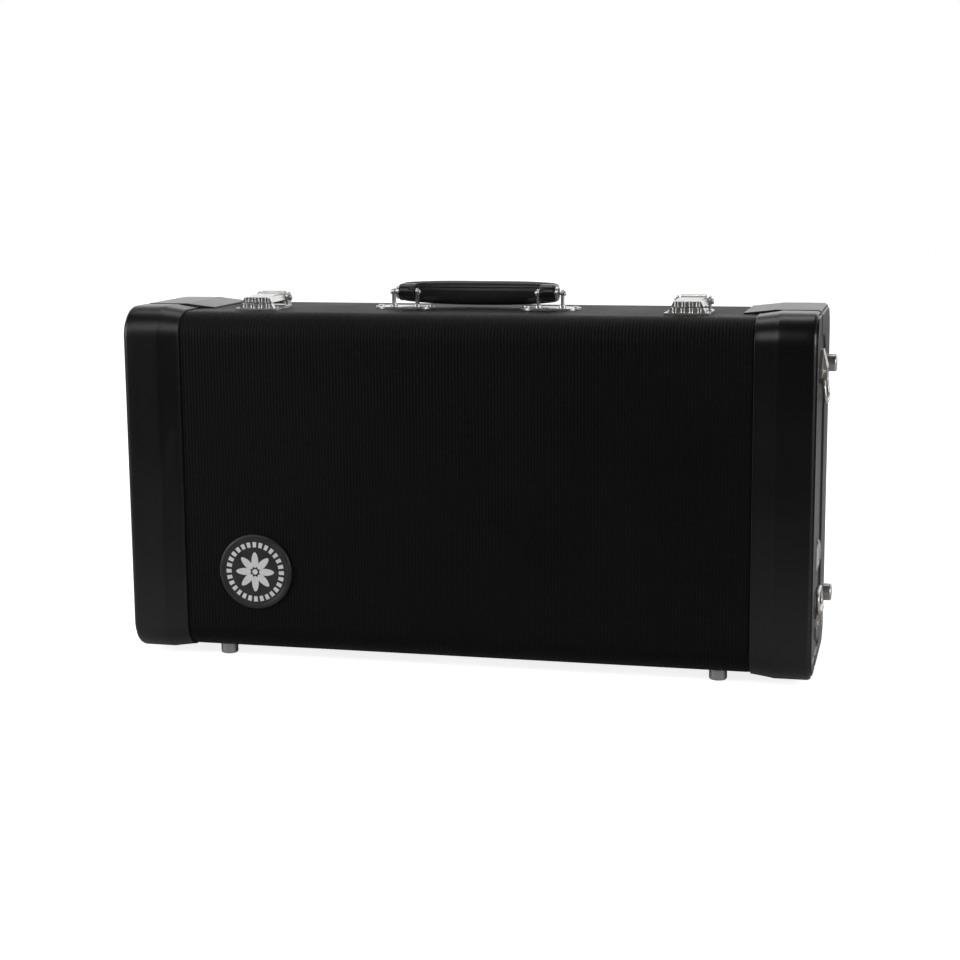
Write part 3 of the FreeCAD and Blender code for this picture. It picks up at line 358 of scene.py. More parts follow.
CHROME_COLOR = (0.66, 0.66, 0.65)
STEEL_COLOR = (0.62, 0.61, 0.59)
MATERIALS = {
    "cover_fabric": cover_cloth(),
    "cap_plastic": cap_plastic(),
    "grip_plastic": grip_plastic(),
    "chrome": bright_metal("chrome", CHROME_COLOR, 0.26, 0.08),
    "steel": bright_metal("steel", STEEL_COLOR, 0.3, 0.14),
    "rim_metal": rim_metal(),
    "plush": plush("plush", (0.012, 0.012, 0.014), (0.05, 0.05, 0.056)),
    "shell_board": shell_board(),
    "webbing": webbing(),
    "clear_window": clear_vinyl(),
    "card": card_stock(),
}
SATIN_NICKEL = bright_metal("satin_nickel", (0.66, 0.64, 0.61), 0.32, 0.12)
BADGE_FACE = badge_face()
BADGE_PAINT = badge_paint()


# Mesh helpers


def new_object(name, points, faces, material, smooth_angle=40):
    mesh = bpy.data.meshes.new(name)
    mesh.from_pydata([tuple(p) for p in points], [], faces)
    mesh.validate()
    return finish_mesh(name, mesh, material, smooth_angle)


def finish_mesh(name, mesh, material, smooth_angle=40):
    bm = bmesh.new()
    bm.from_mesh(mesh)
    bmesh.ops.recalc_face_normals(bm, faces=bm.faces)
    bm.to_mesh(mesh)
    bm.free()
    mesh.shade_smooth()
    mesh.set_sharp_from_angle(angle=math.radians(smooth_angle))
    mesh.materials.clear()
    mesh.materials.append(material)
    piece = bpy.data.objects.new(name, mesh)
    bpy.context.scene.collection.objects.link(piece)
    return piece


def attach(piece, body, slot, *nodes):
    """The piece rides on its body and stands for its nodes, which are hidden. Its slot is not used."""
    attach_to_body(piece, body)
    if nodes:
        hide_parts(*nodes)
    return piece


def apply_modifiers(piece):
    bpy.context.view_layer.update()
    graph = bpy.context.evaluated_depsgraph_get()
    mesh = bpy.data.meshes.new_from_object(piece.evaluated_get(graph))
    old = piece.data
    piece.modifiers.clear()
    piece.data = mesh
    bpy.data.meshes.remove(old)
    return piece


def span_points(start, end, count):
    """Count + 1 evenly spaced values from start to end."""
    return [start + (end - start) * i / count for i in range(count + 1)]


ARC_STEPS = 14
SIDE_STEPS = 8
FACE_STEPS = 24
SEAM_STEPS = 6


def seam_sizes(side):
    """How far from the seam a half starts to fall away, and by how much."""
    return (LID_SEAM_RUN, LID_SEAM_FALL) if side < 0 else (BODY_SEAM_RUN, BODY_SEAM_FALL)


def half_loop(open_y, face_y, z0, z1, radius):
    """Points round one half of the case: along the bottom, up the face, back along the top.

    The points are closer together near the seam."""
    side = 1 if face_y > open_y else -1
    line_y = face_y - side * radius
    run = seam_sizes(side)[0]
    arm_y = open_y + side * run
    edge = [open_y + side * run * (1 - math.cos(math.pi / 2 * i / SEAM_STEPS)) for i in range(SEAM_STEPS)]
    points = [(y, z0) for y in edge + span_points(arm_y, line_y, SIDE_STEPS)]
    for i in range(1, ARC_STEPS + 1):
        a = math.pi / 2 * i / ARC_STEPS
        points.append((line_y + side * radius * math.sin(a), z0 + radius * (1 - math.cos(a))))
    points += [(face_y, z) for z in span_points(z0 + radius, z1 - radius, FACE_STEPS)[1:]]
    for i in range(1, ARC_STEPS + 1):
        a = math.pi / 2 * i / ARC_STEPS
        points.append((line_y + side * radius * math.cos(a), z1 - radius + radius * math.sin(a)))
    points += [(y, z1) for y in span_points(line_y, arm_y, SIDE_STEPS)[1:]]
    points += [(y, z1) for y in reversed(edge)]
    return points


def case_loop(side, inset):
    open_y = LID_SEAM if side < 0 else BODY_SEAM
    face_y = FRONT + inset if side < 0 else REAR - inset
    return half_loop(open_y, face_y, LOW + inset, HIGH - inset, EDGE_RADIUS - inset)


def fall_at_seam(points, side, inset):
    """Lets the outer faces drop away softly towards the seam."""
    run, fall = seam_sizes(side)
    open_y = LID_SEAM if side < 0 else BODY_SEAM
    moved = []
    for x, y, z in points:
        near = max(1 - abs(y - open_y) / run, 0.0)
        drop = inset + fall * (1 - math.sqrt(1 - near * near))
        drop = min(drop, max(inset, CAP_WALL - SLEEVE_LEFT))
        reach = HALF_LENGTH - drop
        moved.append((min(max(x, -reach), reach), y, min(max(z, LOW + drop), HIGH - drop)))
    return moved


def panel_loop(side, grow):
    open_y = LID_SEAM if side < 0 else BODY_SEAM
    face_y = FRONT + PANEL_FRONT_RIM if side < 0 else REAR - PANEL_REAR_RIM
    face_y += side * grow
    z0 = LOW + PANEL_LOW_RIM - grow
    z1 = HIGH - PANEL_HIGH_RIM + grow
    return half_loop(open_y, face_y, z0, z1, PANEL_CORNER + grow)


def skin(rings):
    """Quads between neighbouring rings of points that are open at both ends."""
    count = len(rings[0])
    points = [p for ring in rings for p in ring]
    faces = []
    for r in range(len(rings) - 1):
        for i in range(count - 1):
            a = r * count + i
            faces.append((a, a + 1, a + count + 1, a + count))
    return points, faces


def floor_faces(start, count):
    """Strips that close a half loop from its lower arm to its upper arm."""
    faces = []
    for i in range(count // 2 - 1):
        j = count - 1 - i
        faces.append((start + i, start + i + 1, start + j - 1, start + j))
    middle = count // 2 - 1
    if count % 2:
        faces.append((start + middle, start + middle + 1, start + middle + 2))
    return faces


# End caps


def cap_profile(edge, flat):
    """(x, inset) pairs over a cap's outside, from the cloth to the end's edge."""
    length = HALF_LENGTH - edge
    flat_x = HALF_LENGTH - flat
    ramp_inset = CAP_WALL - EDGE_STEP
    lip = 0.7 * MM
    crease = 1.2 * MM
    slope = ramp_inset / (length - flat)
    pairs = [(edge, CAP_WALL), (edge, ramp_inset + lip)]
    for i in range(1, 5):
        a = math.pi / 2 * i / 4
        pairs.append((edge + lip * (1 - math.cos(a)), ramp_inset + lip * (1 - math.sin(a))))
    for x in span_points(edge + lip * 2, flat_x - crease * 2, 6):
        pairs.append((x, ramp_inset - slope * (x - edge) + 0.25 * MM))
    pairs += [(flat_x - crease * 0.6, 0.32 * MM), (flat_x, 0.1 * MM), (flat_x + crease, 0.0)]
    end = HALF_LENGTH - END_EDGE
    pairs += [(x, 0.0) for x in span_points(flat_x + crease * 3, end, 4)]
    for i in range(1, 9):
        a = math.pi / 2 * i / 8
        pairs.append((end + END_EDGE * math.sin(a), END_EDGE * (1 - math.cos(a))))
    return pairs


PANEL_STEPS = ((1.4, 0.0), (0.9, 0.05), (0.35, 0.25), (0.1, 0.6), (0.0, 1.1), (-0.2, 1.45), (-0.8, 1.6))


def make_cap(name, side, mirror):
    edge = LID_CAP_EDGE if side < 0 else BODY_CAP_EDGE
    flat = LID_FLAT if side < 0 else BODY_FLAT
    rings = [[(SHELL_END, y, z) for y, z in case_loop(side, CAP_WALL)]]
    for x, inset in cap_profile(edge, flat):
        ring = [(x, y, z) for y, z in case_loop(side, inset)]
        rings.append(fall_at_seam(ring, side, inset if inset < CAP_WALL else 0.0))
    for share in (0.3, 0.7):
        outer = case_loop(side, END_EDGE)
        inner = panel_loop(side, 1.4 * MM)
        ring = [
            (HALF_LENGTH, a[0] + (b[0] - a[0]) * share, a[1] + (b[1] - a[1]) * share)
            for a, b in zip(outer, inner)
        ]
        rings.append(fall_at_seam(ring, side, 0.0))
    for grow, sink in PANEL_STEPS:
        x = HALF_LENGTH - sink * MM
        rings.append(fall_at_seam([(x, y, z) for y, z in panel_loop(side, grow * MM)], side, 0.0))
    points, faces = skin(rings)
    count = len(rings[0])
    faces += floor_faces(0, count)
    faces += floor_faces((len(rings) - 1) * count, count)
    low_edge = [r * count for r in range(len(rings))]
    high_edge = [r * count + count - 1 for r in range(len(rings))]
    faces.append(tuple(low_edge))
    faces.append(tuple(reversed(high_edge)))
    faces.append((low_edge[0], low_edge[-1], high_edge[-1], high_edge[0]))
    if mirror:
        points = [(-x, y, z) for x, y, z in points]
    cap = new_object(name, points, faces, MATERIALS["cap_plastic"], 35)
    return cap


def make_caps():
    for half, side, body in (("lid", -1, "lid"), ("body", 1, "case_body")):
        for end, mirror in (("right", False), ("left", True)):
            cap = make_cap(half + "_end_cap_" + end, side, mirror)
            attach(cap, body, "cap_plastic", half + "_cap_" + end)


# Cloth covers


def make_cover(half, side, body):
    """Cloth stretched over a shell, drawn in a little where the caps hold it."""
    edge = LID_CAP_EDGE if side < 0 else BODY_CAP_EDGE
    end = edge + COVER_TUCK
    stations = span_points(-end, end, COVER_STATIONS)
    outside = []
    inside = []
    for x in stations:
        near = abs(x) - (edge - COVER_DRAW_RUN)
        draw = COVER_DRAW * min(max(near / COVER_DRAW_RUN, 0.0), 1.0) ** 2
        ring = []
        for y, z in case_loop(side, CAP_WALL + 0.1 * MM + draw):
            swell = noise.noise(Vector([c * COVER_SWELL_SCALE for c in (x, y, z)])) * COVER_SWELL
            ring.append((x, y + side * min(swell, 0.0), z))
        outside.append(ring)
        inside.append([(x, y, z) for y, z in case_loop(side, CAP_WALL + COVER_THICKNESS - 0.05 * MM)])
    points_out, faces_out = skin(outside)
    points_in, faces_in = skin(inside)
    shift = len(points_out)
    faces = faces_out + [tuple(i + shift for i in f) for f in faces_in]
    count = len(outside[0])
    last = (len(outside) - 1) * count
    for i in range(count - 1):
        faces.append((i, i + 1, shift + i + 1, shift + i))
        faces.append((last + i, last + i + 1, shift + last + i + 1, shift + last + i))
    for r in range(len(outside) - 1):
        for i in (0, count - 1):
            a, b = r * count + i, (r + 1) * count + i
            faces.append((a, b, shift + b, shift + a))
    cover = new_object(half + "_cloth", points_out + points_in, faces, MATERIALS["cover_fabric"], 50)
    return attach(cover, body, "cover_fabric", half + "_cover")


# Carried-over nodes


# Softened edge of each node in millimetres

BEVELS = {
    "latch_lever_left": 0.35, "latch_lever_right": 0.35,
    "latch_keeper_left": 0.25, "latch_keeper_right": 0.25,
    "latch_base_left": 0.25, "latch_base_right": 0.25,
    "latch_hook_left": 0.2, "latch_hook_right": 0.2,
    "handle_bracket_left": 0.3, "handle_bracket_right": 0.3,
    "handle_ferrules": 0.2, "strap_plates": 0.3,
    "body_rim": 0.4, "lid_rim": 0.4,
    "lid_hinge_leaves": 0.2, "body_hinge_leaves": 0.2,
    "accessory_box": 0.4, "name_card": 0.05,
    "lid_feet": 0.3, "body_feet": 0.3, "end_feet": 0.3,
}
SHARP_ANGLE = 32


def dress_nodes():
    """Every CAD node gets its slot's finish, smooth shading and, where it shows, softened edges."""
    slots = {entry["node"]: entry["material_slot"] for entry in frame["record"]["subparts"]}
    for name, node in frame["nodes"].items():
        node.data.materials.clear()
        finish = SATIN_NICKEL if name.startswith("strap_") else MATERIALS[slots[name]]
        node.data.materials.append(finish)
        node.data.shade_smooth()
        node.data.set_sharp_from_angle(angle=math.radians(SHARP_ANGLE))
        if name in BEVELS:
            bevel = node.modifiers.new("edge", "BEVEL")
            bevel.width = BEVELS[name] * MM
            bevel.segments = 3
            bevel.limit_method = "ANGLE"
            bevel.angle_limit = math.radians(SHARP_ANGLE)
            bevel.harden_normals = False


# Badge


def lathe(profile, centre, steps=96):
    """Points and faces of a turned shape about an axis along Y through centre."""
    points = []
    for radius, y in profile:
        for i in range(steps):
            a = 2 * math.pi * i / steps
            points.append((centre.x + radius * math.cos(a), y, centre.z + radius * math.sin(a)))
    faces = []
    for r in range(len(profile) - 1):
        for i in range(steps):
            j = (i + 1) % steps
            faces.append((r * steps + i, r * steps + j, (r + 1) * steps + j, (r + 1) * steps + i))
    faces.append(tuple(range(steps)))
    faces.append(tuple(range((len(profile) - 1) * steps, len(profile) * steps)))
    return points, faces


# (in from the badge's rim, behind its foremost face) in millimetres
BADGE_PROFILE = (
    (0, 1.3), (0.25, 0.7), (0.8, 0.25), (1.6, 0.05),
    (2.6, 0), (3.4, 0.1), (3.9, 0.4), (4.6, 0.45),
)
BADGE_RIM = 4.6 * MM
BADGE_DISH = 0.45 * MM
BADGE_DOME = 0.25 * MM
BADGE_DOME_SHARES = (0.8, 0.6, 0.4, 0.2, 0.03)
MOTIF_BEHIND = 0.28 * MM
MOTIF_RISE = 0.18 * MM
MOTIF_SUNK = 0.5 * MM
BARS = 28
BAR_HALF_SHARE = 0.3
BAR_OUTER = 0.80
BAR_INNER = 0.66
LEAVES = 8
LEAF_POINTS = 16
LEAF_MIDDLE = 0.32
LEAF_HALF_LENGTH = 0.21
LEAF_HALF_WIDTH = 0.075
HUB_POINTS = 20
HUB_RADIUS = 0.075


def make_badge():
    """Turned disc with a rolled rim and a low dome in its dish."""
    lo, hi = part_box("badge")
    centre = (lo + hi) / 2
    radius = (hi.x - lo.x) / 2
    back, face = hi.y, lo.y
    profile = [(radius, back)]
    profile += [(radius - inward * MM, face + behind * MM) for inward, behind in BADGE_PROFILE]
    dome = [(radius - BADGE_RIM) * share for share in BADGE_DOME_SHARES]
    profile += [(r, face + BADGE_DISH - BADGE_DOME * (1 - r / radius)) for r in dome]
    points, faces = lathe(profile, centre)
    disc = new_object("badge_disc", points, faces, BADGE_FACE, 50)
    attach(disc, "lid", "cap_plastic", "badge")
    make_badge_motif(centre, face + MOTIF_BEHIND, radius)


def make_badge_motif(centre, y, radius):
    """Raised print: a ring of short bars round a plain eight-leaf rosette."""
    bm = bmesh.new()

    def plate(outline):
        front = [bm.verts.new((p[0], y - MOTIF_RISE, p[1])) for p in outline]
        back = [bm.verts.new((p[0], y + MOTIF_SUNK, p[1])) for p in outline]
        bm.faces.new(front)
        bm.faces.new(list(reversed(back)))
        for i in range(len(outline)):
            j = (i + 1) % len(outline)
            bm.faces.new((front[i], back[i], back[j], front[j]))

    def polar(r, a):
        return (centre.x + r * math.sin(a), centre.z + r * math.cos(a))

    for i in range(BARS):
        middle = 2 * math.pi * i / BARS
        half = 2 * math.pi / BARS * BAR_HALF_SHARE
        outer = [polar(radius * BAR_OUTER, middle + half * t) for t in (-1, -0.33, 0.33, 1)]
        inner = [polar(radius * BAR_INNER, middle + half * t) for t in (1, 0.33, -0.33, -1)]
        plate(outer + inner)
    for i in range(LEAVES):
        a = 2 * math.pi * i / LEAVES
        outline = []
        for k in range(LEAF_POINTS):
            t = 2 * math.pi * k / LEAF_POINTS
            along = radius * (LEAF_MIDDLE + LEAF_HALF_LENGTH * math.cos(t))
            across = radius * LEAF_HALF_WIDTH * math.sin(t) * (1.25 - 0.25 * math.cos(t))
            outline.append((
                centre.x + along * math.sin(a) + across * math.cos(a),
                centre.z + along * math.cos(a) - across * math.sin(a),
            ))
        plate(outline)
    hub = [polar(radius * HUB_RADIUS, 2 * math.pi * k / HUB_POINTS) for k in range(HUB_POINTS)]
    plate(hub)
    mesh = bpy.data.meshes.new("badge_motif")
    bm.to_mesh(mesh)
    bm.free()
    motif = finish_mesh("badge_motif", mesh, BADGE_PAINT)
    attach(motif, "lid", "chrome", "badge_ring")


# Card pocket


FILM_ROWS = 24
FILM_COLUMNS = 24
FILM_BOW = 1.8 * MM
FILM_THICKNESS = 0.35 * MM
FILM_TOP_DROP = 10 * MM
FILM_CORNER = 21 * MM
FILM_BOW_POWER = 0.8
FILM_EDGE_BOW_SHARE = 0.55
BEAD_RADIUS = 0.35 * MM
BEAD_STEPS = 10


def make_film():
    """Clear film over the card, bowed outwards, with one upper corner rounded off."""
    lo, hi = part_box("card_window")
    width = hi.y - lo.y
    height = hi.z - lo.z

    def top(y):
        """Height of the film's upper edge: a quarter of an oval down to the rear."""
        t = (y - lo.y) / width
        return hi.z - FILM_TOP_DROP - FILM_CORNER * (1 - math.sqrt(max(1 - t ** 2, 0.0)))

    outer = []
    inner = []
    for i in range(FILM_COLUMNS + 1):
        y = lo.y + width * math.sin(math.pi / 2 * i / FILM_COLUMNS)
        for k in range(FILM_ROWS + 1):
            share = k / FILM_ROWS
            z = lo.z + (top(y) - lo.z) * share
            bow = 0.0
            if 0 < share < 1:
                bow = FILM_BOW * math.sin(math.pi * (z - lo.z) / height) ** FILM_BOW_POWER
            bow = max(bow, FILM_BOW * FILM_EDGE_BOW_SHARE * share)
            outer.append((lo.x + bow + FILM_THICKNESS, y, z))
            inner.append((lo.x + bow, y, z))
    count = FILM_ROWS + 1
    shift = len(outer)
    faces = []
    for i in range(FILM_COLUMNS):
        for k in range(FILM_ROWS):
            a = i * count + k
            faces.append((a, a + 1, a + count + 1, a + count))
            faces.append((shift + a, shift + a + count, shift + a + count + 1, shift + a + 1))
        for k in (0, FILM_ROWS):
            a = i * count + k
            faces.append((a, a + count, shift + a + count, shift + a))
    for k in range(FILM_ROWS):
        for i in (0, FILM_COLUMNS):
            a = i * count + k
            faces.append((a, a + 1, shift + a + 1, shift + a))
    film = new_object("card_film", outer + inner, faces, MATERIALS["clear_window"], 50)
    keep_inside(film.data, lo, hi)
    attach(film, "case_body", "clear_window", "card_window")
    edge = film_edge([Vector(outer[i * count + FILM_ROWS]) for i in range(FILM_COLUMNS + 1)])
    keep_inside(edge.data, lo, hi)
    attach(edge, "case_body", "clear_window")


def film_edge(line):
    """Rolled bead along the film's upper edge."""
    points = []
    for place in line:
        for k in range(BEAD_STEPS):
            a = 2 * math.pi * k / BEAD_STEPS
            x = place.x - BEAD_RADIUS + BEAD_RADIUS * math.cos(a)
            points.append((x, place.y, place.z - BEAD_RADIUS + BEAD_RADIUS * math.sin(a)))
    faces = []
    for i in range(len(line) - 1):
        start = i * BEAD_STEPS
        for k in range(BEAD_STEPS):
            j = (k + 1) % BEAD_STEPS
            faces.append((start + k, start + j, start + BEAD_STEPS + j, start + BEAD_STEPS + k))
    faces.append(tuple(range(BEAD_STEPS)))
    faces.append(tuple(range((len(line) - 1) * BEAD_STEPS, len(line) * BEAD_STEPS)))
    return new_object("card_film_bead", points, faces, MATERIALS["card"], 60)


# Handle grip


GRIP_REACH = 18 * MM
GRIP_THICK = 19.5 * MM
GRIP_DEEP = 15 * MM
GRIP_SAG = 1.4 * MM
FERRULE_SHOWN = 2 * MM
KNUCKLE_RADIUS = 6.8 * MM
KNUCKLE_INNER = 51.4 * MM
KNUCKLE_STEPS = 6
KNUCKLE_REACH_SHARE = 0.5
GRIP_ARCH_SHARE = 0.56
GRIP_ARCH_POWER = 2.35
GRIP_END_START = 0.94
GRIP_END_SPAN = 0.06
GRIP_END_SIZE = 0.72
GRIP_END_GROWTH = 0.28
GRIP_TALL_TAPER = 0.24
GRIP_DEEP_TAPER = 0.2
GRIP_SQUARENESS = 0.8
GRIP_VOXEL = 0.5 * MM
GROOVE_HEIGHT_SHARE = 0.42
GROOVE_WIDTH = 0.7 * MM
GROOVE_END = 0.86
GROOVE_DEPTH = 0.45 * MM
GRIP_STEPS = 48
GRIP_STATIONS = 64


def make_grip():
    """Moulded grip: an arched bar that ends in a rounded knuckle round each pin."""
    lo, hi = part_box("handle_grip")
    pins_low, pins_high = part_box("handle_pins")
    pin_y = (pins_low.y + pins_high.y) / 2
    pin_z = (pins_low.z + pins_high.z) / 2
    half = hi.x - FERRULE_SHOWN
    bm = bmesh.new()
    rings = []
    for i in range(GRIP_STATIONS + 1):
        x = half * math.sin(math.pi / 2 * (2 * i / GRIP_STATIONS - 1))
        u = abs(x) / half
        centre_y = pin_y + GRIP_REACH * (1 - GRIP_ARCH_SHARE * u ** GRIP_ARCH_POWER)
        centre_z = pin_z - GRIP_SAG * (1 - u ** 2)
        shrink = 1.0
        if u > GRIP_END_START:
            shrink = math.sqrt(max(1 - ((u - GRIP_END_START) / GRIP_END_SPAN) ** 2, 0.0))
        shrink = GRIP_END_SIZE + GRIP_END_GROWTH * shrink
        tall = GRIP_THICK / 2 * (1 - GRIP_TALL_TAPER * u ** 3) * shrink
        deep = GRIP_DEEP / 2 * (1 - GRIP_DEEP_TAPER * u ** 3) * shrink
        ring = []
        for k in range(GRIP_STEPS):
            a = 2 * math.pi * k / GRIP_STEPS
            y = math.copysign(abs(math.cos(a)) ** GRIP_SQUARENESS, math.cos(a))
            z = math.copysign(abs(math.sin(a)) ** GRIP_SQUARENESS, math.sin(a))
            ring.append(bm.verts.new((x, centre_y + deep * y, centre_z + tall * z)))
        rings.append(ring)
    for a, b in zip(rings, rings[1:]):
        for k in range(GRIP_STEPS):
            j = (k + 1) % GRIP_STEPS
            bm.faces.new((a[k], a[j], b[j], b[k]))
    bm.faces.new(list(reversed(rings[0])))
    bm.faces.new(rings[-1])
    width = half - KNUCKLE_INNER
    for sign in (-1, 1):
        middle = sign * (half + KNUCKLE_INNER) / 2
        turn = Matrix.Rotation(math.pi / 2, 4, "Y")
        for k in range(KNUCKLE_STEPS + 1):
            y = pin_y + GRIP_REACH * KNUCKLE_REACH_SHARE * k / KNUCKLE_STEPS
            bmesh.ops.create_cone(
                bm, cap_ends=True, segments=40,
                radius1=KNUCKLE_RADIUS, radius2=KNUCKLE_RADIUS, depth=width,
                matrix=Matrix.Translation((middle, y, pin_z)) @ turn,
            )
    mesh = bpy.data.meshes.new("grip")
    bm.to_mesh(mesh)
    bm.free()
    grip = finish_mesh("handle_moulding", mesh, MATERIALS["grip_plastic"], 60)
    remesh = grip.modifiers.new("skin", "REMESH")
    remesh.mode = "VOXEL"
    remesh.voxel_size = GRIP_VOXEL
    smooth = grip.modifiers.new("soften", "SMOOTH")
    smooth.factor = 0.5
    smooth.iterations = 20
    apply_modifiers(grip)
    groove_grip(grip.data, pin_z, half)
    keep_inside(grip.data, lo - Vector((0, 0, GRIP_SAG)), hi)
    grip.data.shade_smooth()
    return attach(grip, "handle", "grip_plastic", "handle_grip")


def groove_grip(mesh, pin_z, half):
    """Fine parting groove along the upper front of the bar."""
    mesh.update()
    for vertex in mesh.vertices:
        u = abs(vertex.co.x) / half
        height = pin_z - GRIP_SAG * (1 - u ** 2)
        height += GRIP_THICK / 2 * (1 - GRIP_TALL_TAPER * u ** 3) * GROOVE_HEIGHT_SHARE
        near = (vertex.co.z - height) / GROOVE_WIDTH
        if vertex.normal.y < 0 and u < GROOVE_END:
            vertex.co = vertex.co - vertex.normal * GROOVE_DEPTH * math.exp(-near * near)


def keep_inside(mesh, lo, hi):
    """Holds a mesh inside a node's box."""
    for vertex in mesh.vertices:
        vertex.co = [min(max(c, a), b) for c, a, b in zip(vertex.co, lo, hi)]
    mesh.update()


# Plush-covered pieces


def roughen(mesh, node, ripple):
    """Uneven surface that stays inside its node's box."""
    lo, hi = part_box(node)
    points = [v.co.copy() for v in mesh.vertices]
    normals = [v.normal.copy() for v in mesh.vertices]
    flat = []
    for p, normal in zip(points, normals):
        lift = noise.fractal(p * 40, 1.0, 2.0, 3) * ripple * MM
        moved = p + normal * min(lift, 0.0)
        flat += [min(max(c, a), b) for c, a, b in zip(moved, lo, hi)]
    mesh.vertices.foreach_set("co", flat)
    mesh.update()


def plush_copy(name, node, body, voxel, soften, ripple, fill):
    """A soft-edged copy of a padded node, with a slightly uneven surface."""
    mesh = frame["nodes"][node].data.copy()
    piece = finish_mesh(name, mesh, MATERIALS["plush"], 80)
    remesh = piece.modifiers.new("skin", "REMESH")
    remesh.mode = "VOXEL"
    remesh.voxel_size = voxel * MM
    smooth = piece.modifiers.new("soften", "SMOOTH")
    smooth.factor = 0.5
    smooth.iterations = soften
    apply_modifiers(piece)
    roughen(piece.data, node, ripple)
    piece.data.shade_smooth()
    attach(piece, body, "plush", node)
    return piece


# (piece, node, body, voxel in mm, smoothing rounds, ripple in mm, fill or None)
PADDING = (
    ("trumpet_bed", "trumpet_insert", "case_body", 2.4, 10, 0.5, 0.9),
    ("lid_cushion", "lid_pad", "lid", 2.0, 8, 0.8, 0.7),
    ("mouthpiece_block", "mouthpiece_holder", "case_body", 1.2, 3, 0.2, None),
    ("accessory_lid_plush", "accessory_lid", "accessory_cover", 0.6, 2, 0.05, None),
)


def make_padding():
    for piece in PADDING:
        plush_copy(*piece)


# Studio


FLOOR_SIZE = 6.0
FLOOR_COLOR = 0.86
FLOOR_GLOW = 0.84
FLOOR_FAR_GLOW = 1.0
FLOOR_FAR = (0.1, 0.9)
FLOOR_SPLIT = -0.03
# Painted shade: for rays other than camera rays, the floor's colour fades from light near the case to dark
# far in front.
FLOOR_DARK_AT = -0.75
FLOOR_LIGHT_AT = -0.12
FLOOR_DARK = 0.02
FLOOR_LIT = 0.75
# (from, to, brightness at from, brightness at to) over the view direction's Y and its Z
ROOM_BACK = (-0.05, 0.5, 0.012, 1.25)
ROOM_LOW = (0.35, 0.8, 1.0, 0.1)


def seen_directly(tree):
    """Output that is 1 for camera and transmission rays."""
    path = tree.nodes.new("ShaderNodeLightPath")
    either = tree.nodes.new("ShaderNodeMath")
    either.operation = "MAXIMUM"
    tree.links.new(path.outputs["Is Camera Ray"], either.inputs[0])
    tree.links.new(path.outputs["Is Transmission Ray"], either.inputs[1])
    return either.outputs[0]


def fade(tree, value, low, high, to_low, to_high):
    node = tree.nodes.new("ShaderNodeMapRange")
    node.interpolation_type = "SMOOTHSTEP"
    tree.links.new(value, node.inputs["Value"])
    for name, number in (("From Min", low), ("From Max", high), ("To Min", to_low), ("To Max", to_high)):
        node.inputs[name].default_value = number
    return node.outputs[0]


def paper_floor():
    """White paper whose colour for rays other than camera rays is painted shade: dark far in front, where
    the studio is unlit.
    """
    material = bpy.data.materials.new("paper_floor")
    material.use_nodes = True
    tree = material.node_tree
    tree.nodes.clear()
    output = tree.nodes.new("ShaderNodeOutputMaterial")
    paper = tree.nodes.new("ShaderNodeBsdfDiffuse")
    paper.inputs["Color"].default_value = (FLOOR_COLOR, FLOOR_COLOR, FLOOR_COLOR, 1)
    glow = tree.nodes.new("ShaderNodeEmission")
    both = tree.nodes.new("ShaderNodeAddShader")
    tree.links.new(paper.outputs[0], both.inputs[0])
    tree.links.new(glow.outputs[0], both.inputs[1])
    coords = tree.nodes.new("ShaderNodeTexCoord")
    split = tree.nodes.new("ShaderNodeSeparateXYZ")
    tree.links.new(coords.outputs["Object"], split.inputs[0])
    far = fade(tree, split.outputs["Y"], *FLOOR_FAR, FLOOR_GLOW, FLOOR_FAR_GLOW)
    tree.links.new(far, glow.inputs["Strength"])
    # Painted shade: the floor's colour for other rays fades from light near the case to dark far in front.
    lit = tree.nodes.new("ShaderNodeBsdfDiffuse")
    shade = fade(tree, split.outputs["Y"], FLOOR_DARK_AT, FLOOR_LIGHT_AT, FLOOR_DARK, FLOOR_LIT)
    tree.links.new(shade, lit.inputs["Color"])
    mix = tree.nodes.new("ShaderNodeMixShader")
    tree.links.new(seen_directly(tree), mix.inputs[0])
    tree.links.new(lit.outputs[0], mix.inputs[1])
    tree.links.new(both.outputs[0], mix.inputs[2])
    tree.links.new(mix.outputs[0], output.inputs[0])
    return material


def floor_piece(name, near, far, material):
    points = [(-FLOOR_SIZE, near, 0), (FLOOR_SIZE, near, 0), (FLOOR_SIZE, far, 0), (-FLOOR_SIZE, far, 0)]
    mesh = bpy.data.meshes.new(name)
    mesh.from_pydata(points, [], [(0, 1, 2, 3)])
    mesh.materials.append(material)
    floor = bpy.data.objects.new(name, mesh)
    bpy.context.scene.collection.objects.link(floor)
    return floor


def make_floor():
    """One flat floor in two pieces that meet under the hinge.

    The case stands upright, so its lid opens down past the floor. The front piece turns
    with the lid, and so it is out of the way when the lid is open."""
    material = paper_floor()
    floor_piece("floor_rear", FLOOR_SPLIT, FLOOR_SIZE, material)
    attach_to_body(floor_piece("floor_front", -FLOOR_SIZE, FLOOR_SPLIT, material), "lid")


def area_light(name, place, target, width, height, power):
    data = bpy.data.lights.new(name, "AREA")
    data.shape = "RECTANGLE"
    data.size = width
    data.size_y = height
    data.energy = power
    lamp = bpy.data.objects.new(name, data)
    lamp.location = place
    lamp.rotation_mode = "QUATERNION"
    lamp.rotation_quaternion = (Vector(target) - Vector(place)).to_track_quat("-Z", "Y")
    bpy.context.scene.collection.objects.link(lamp)
    return lamp


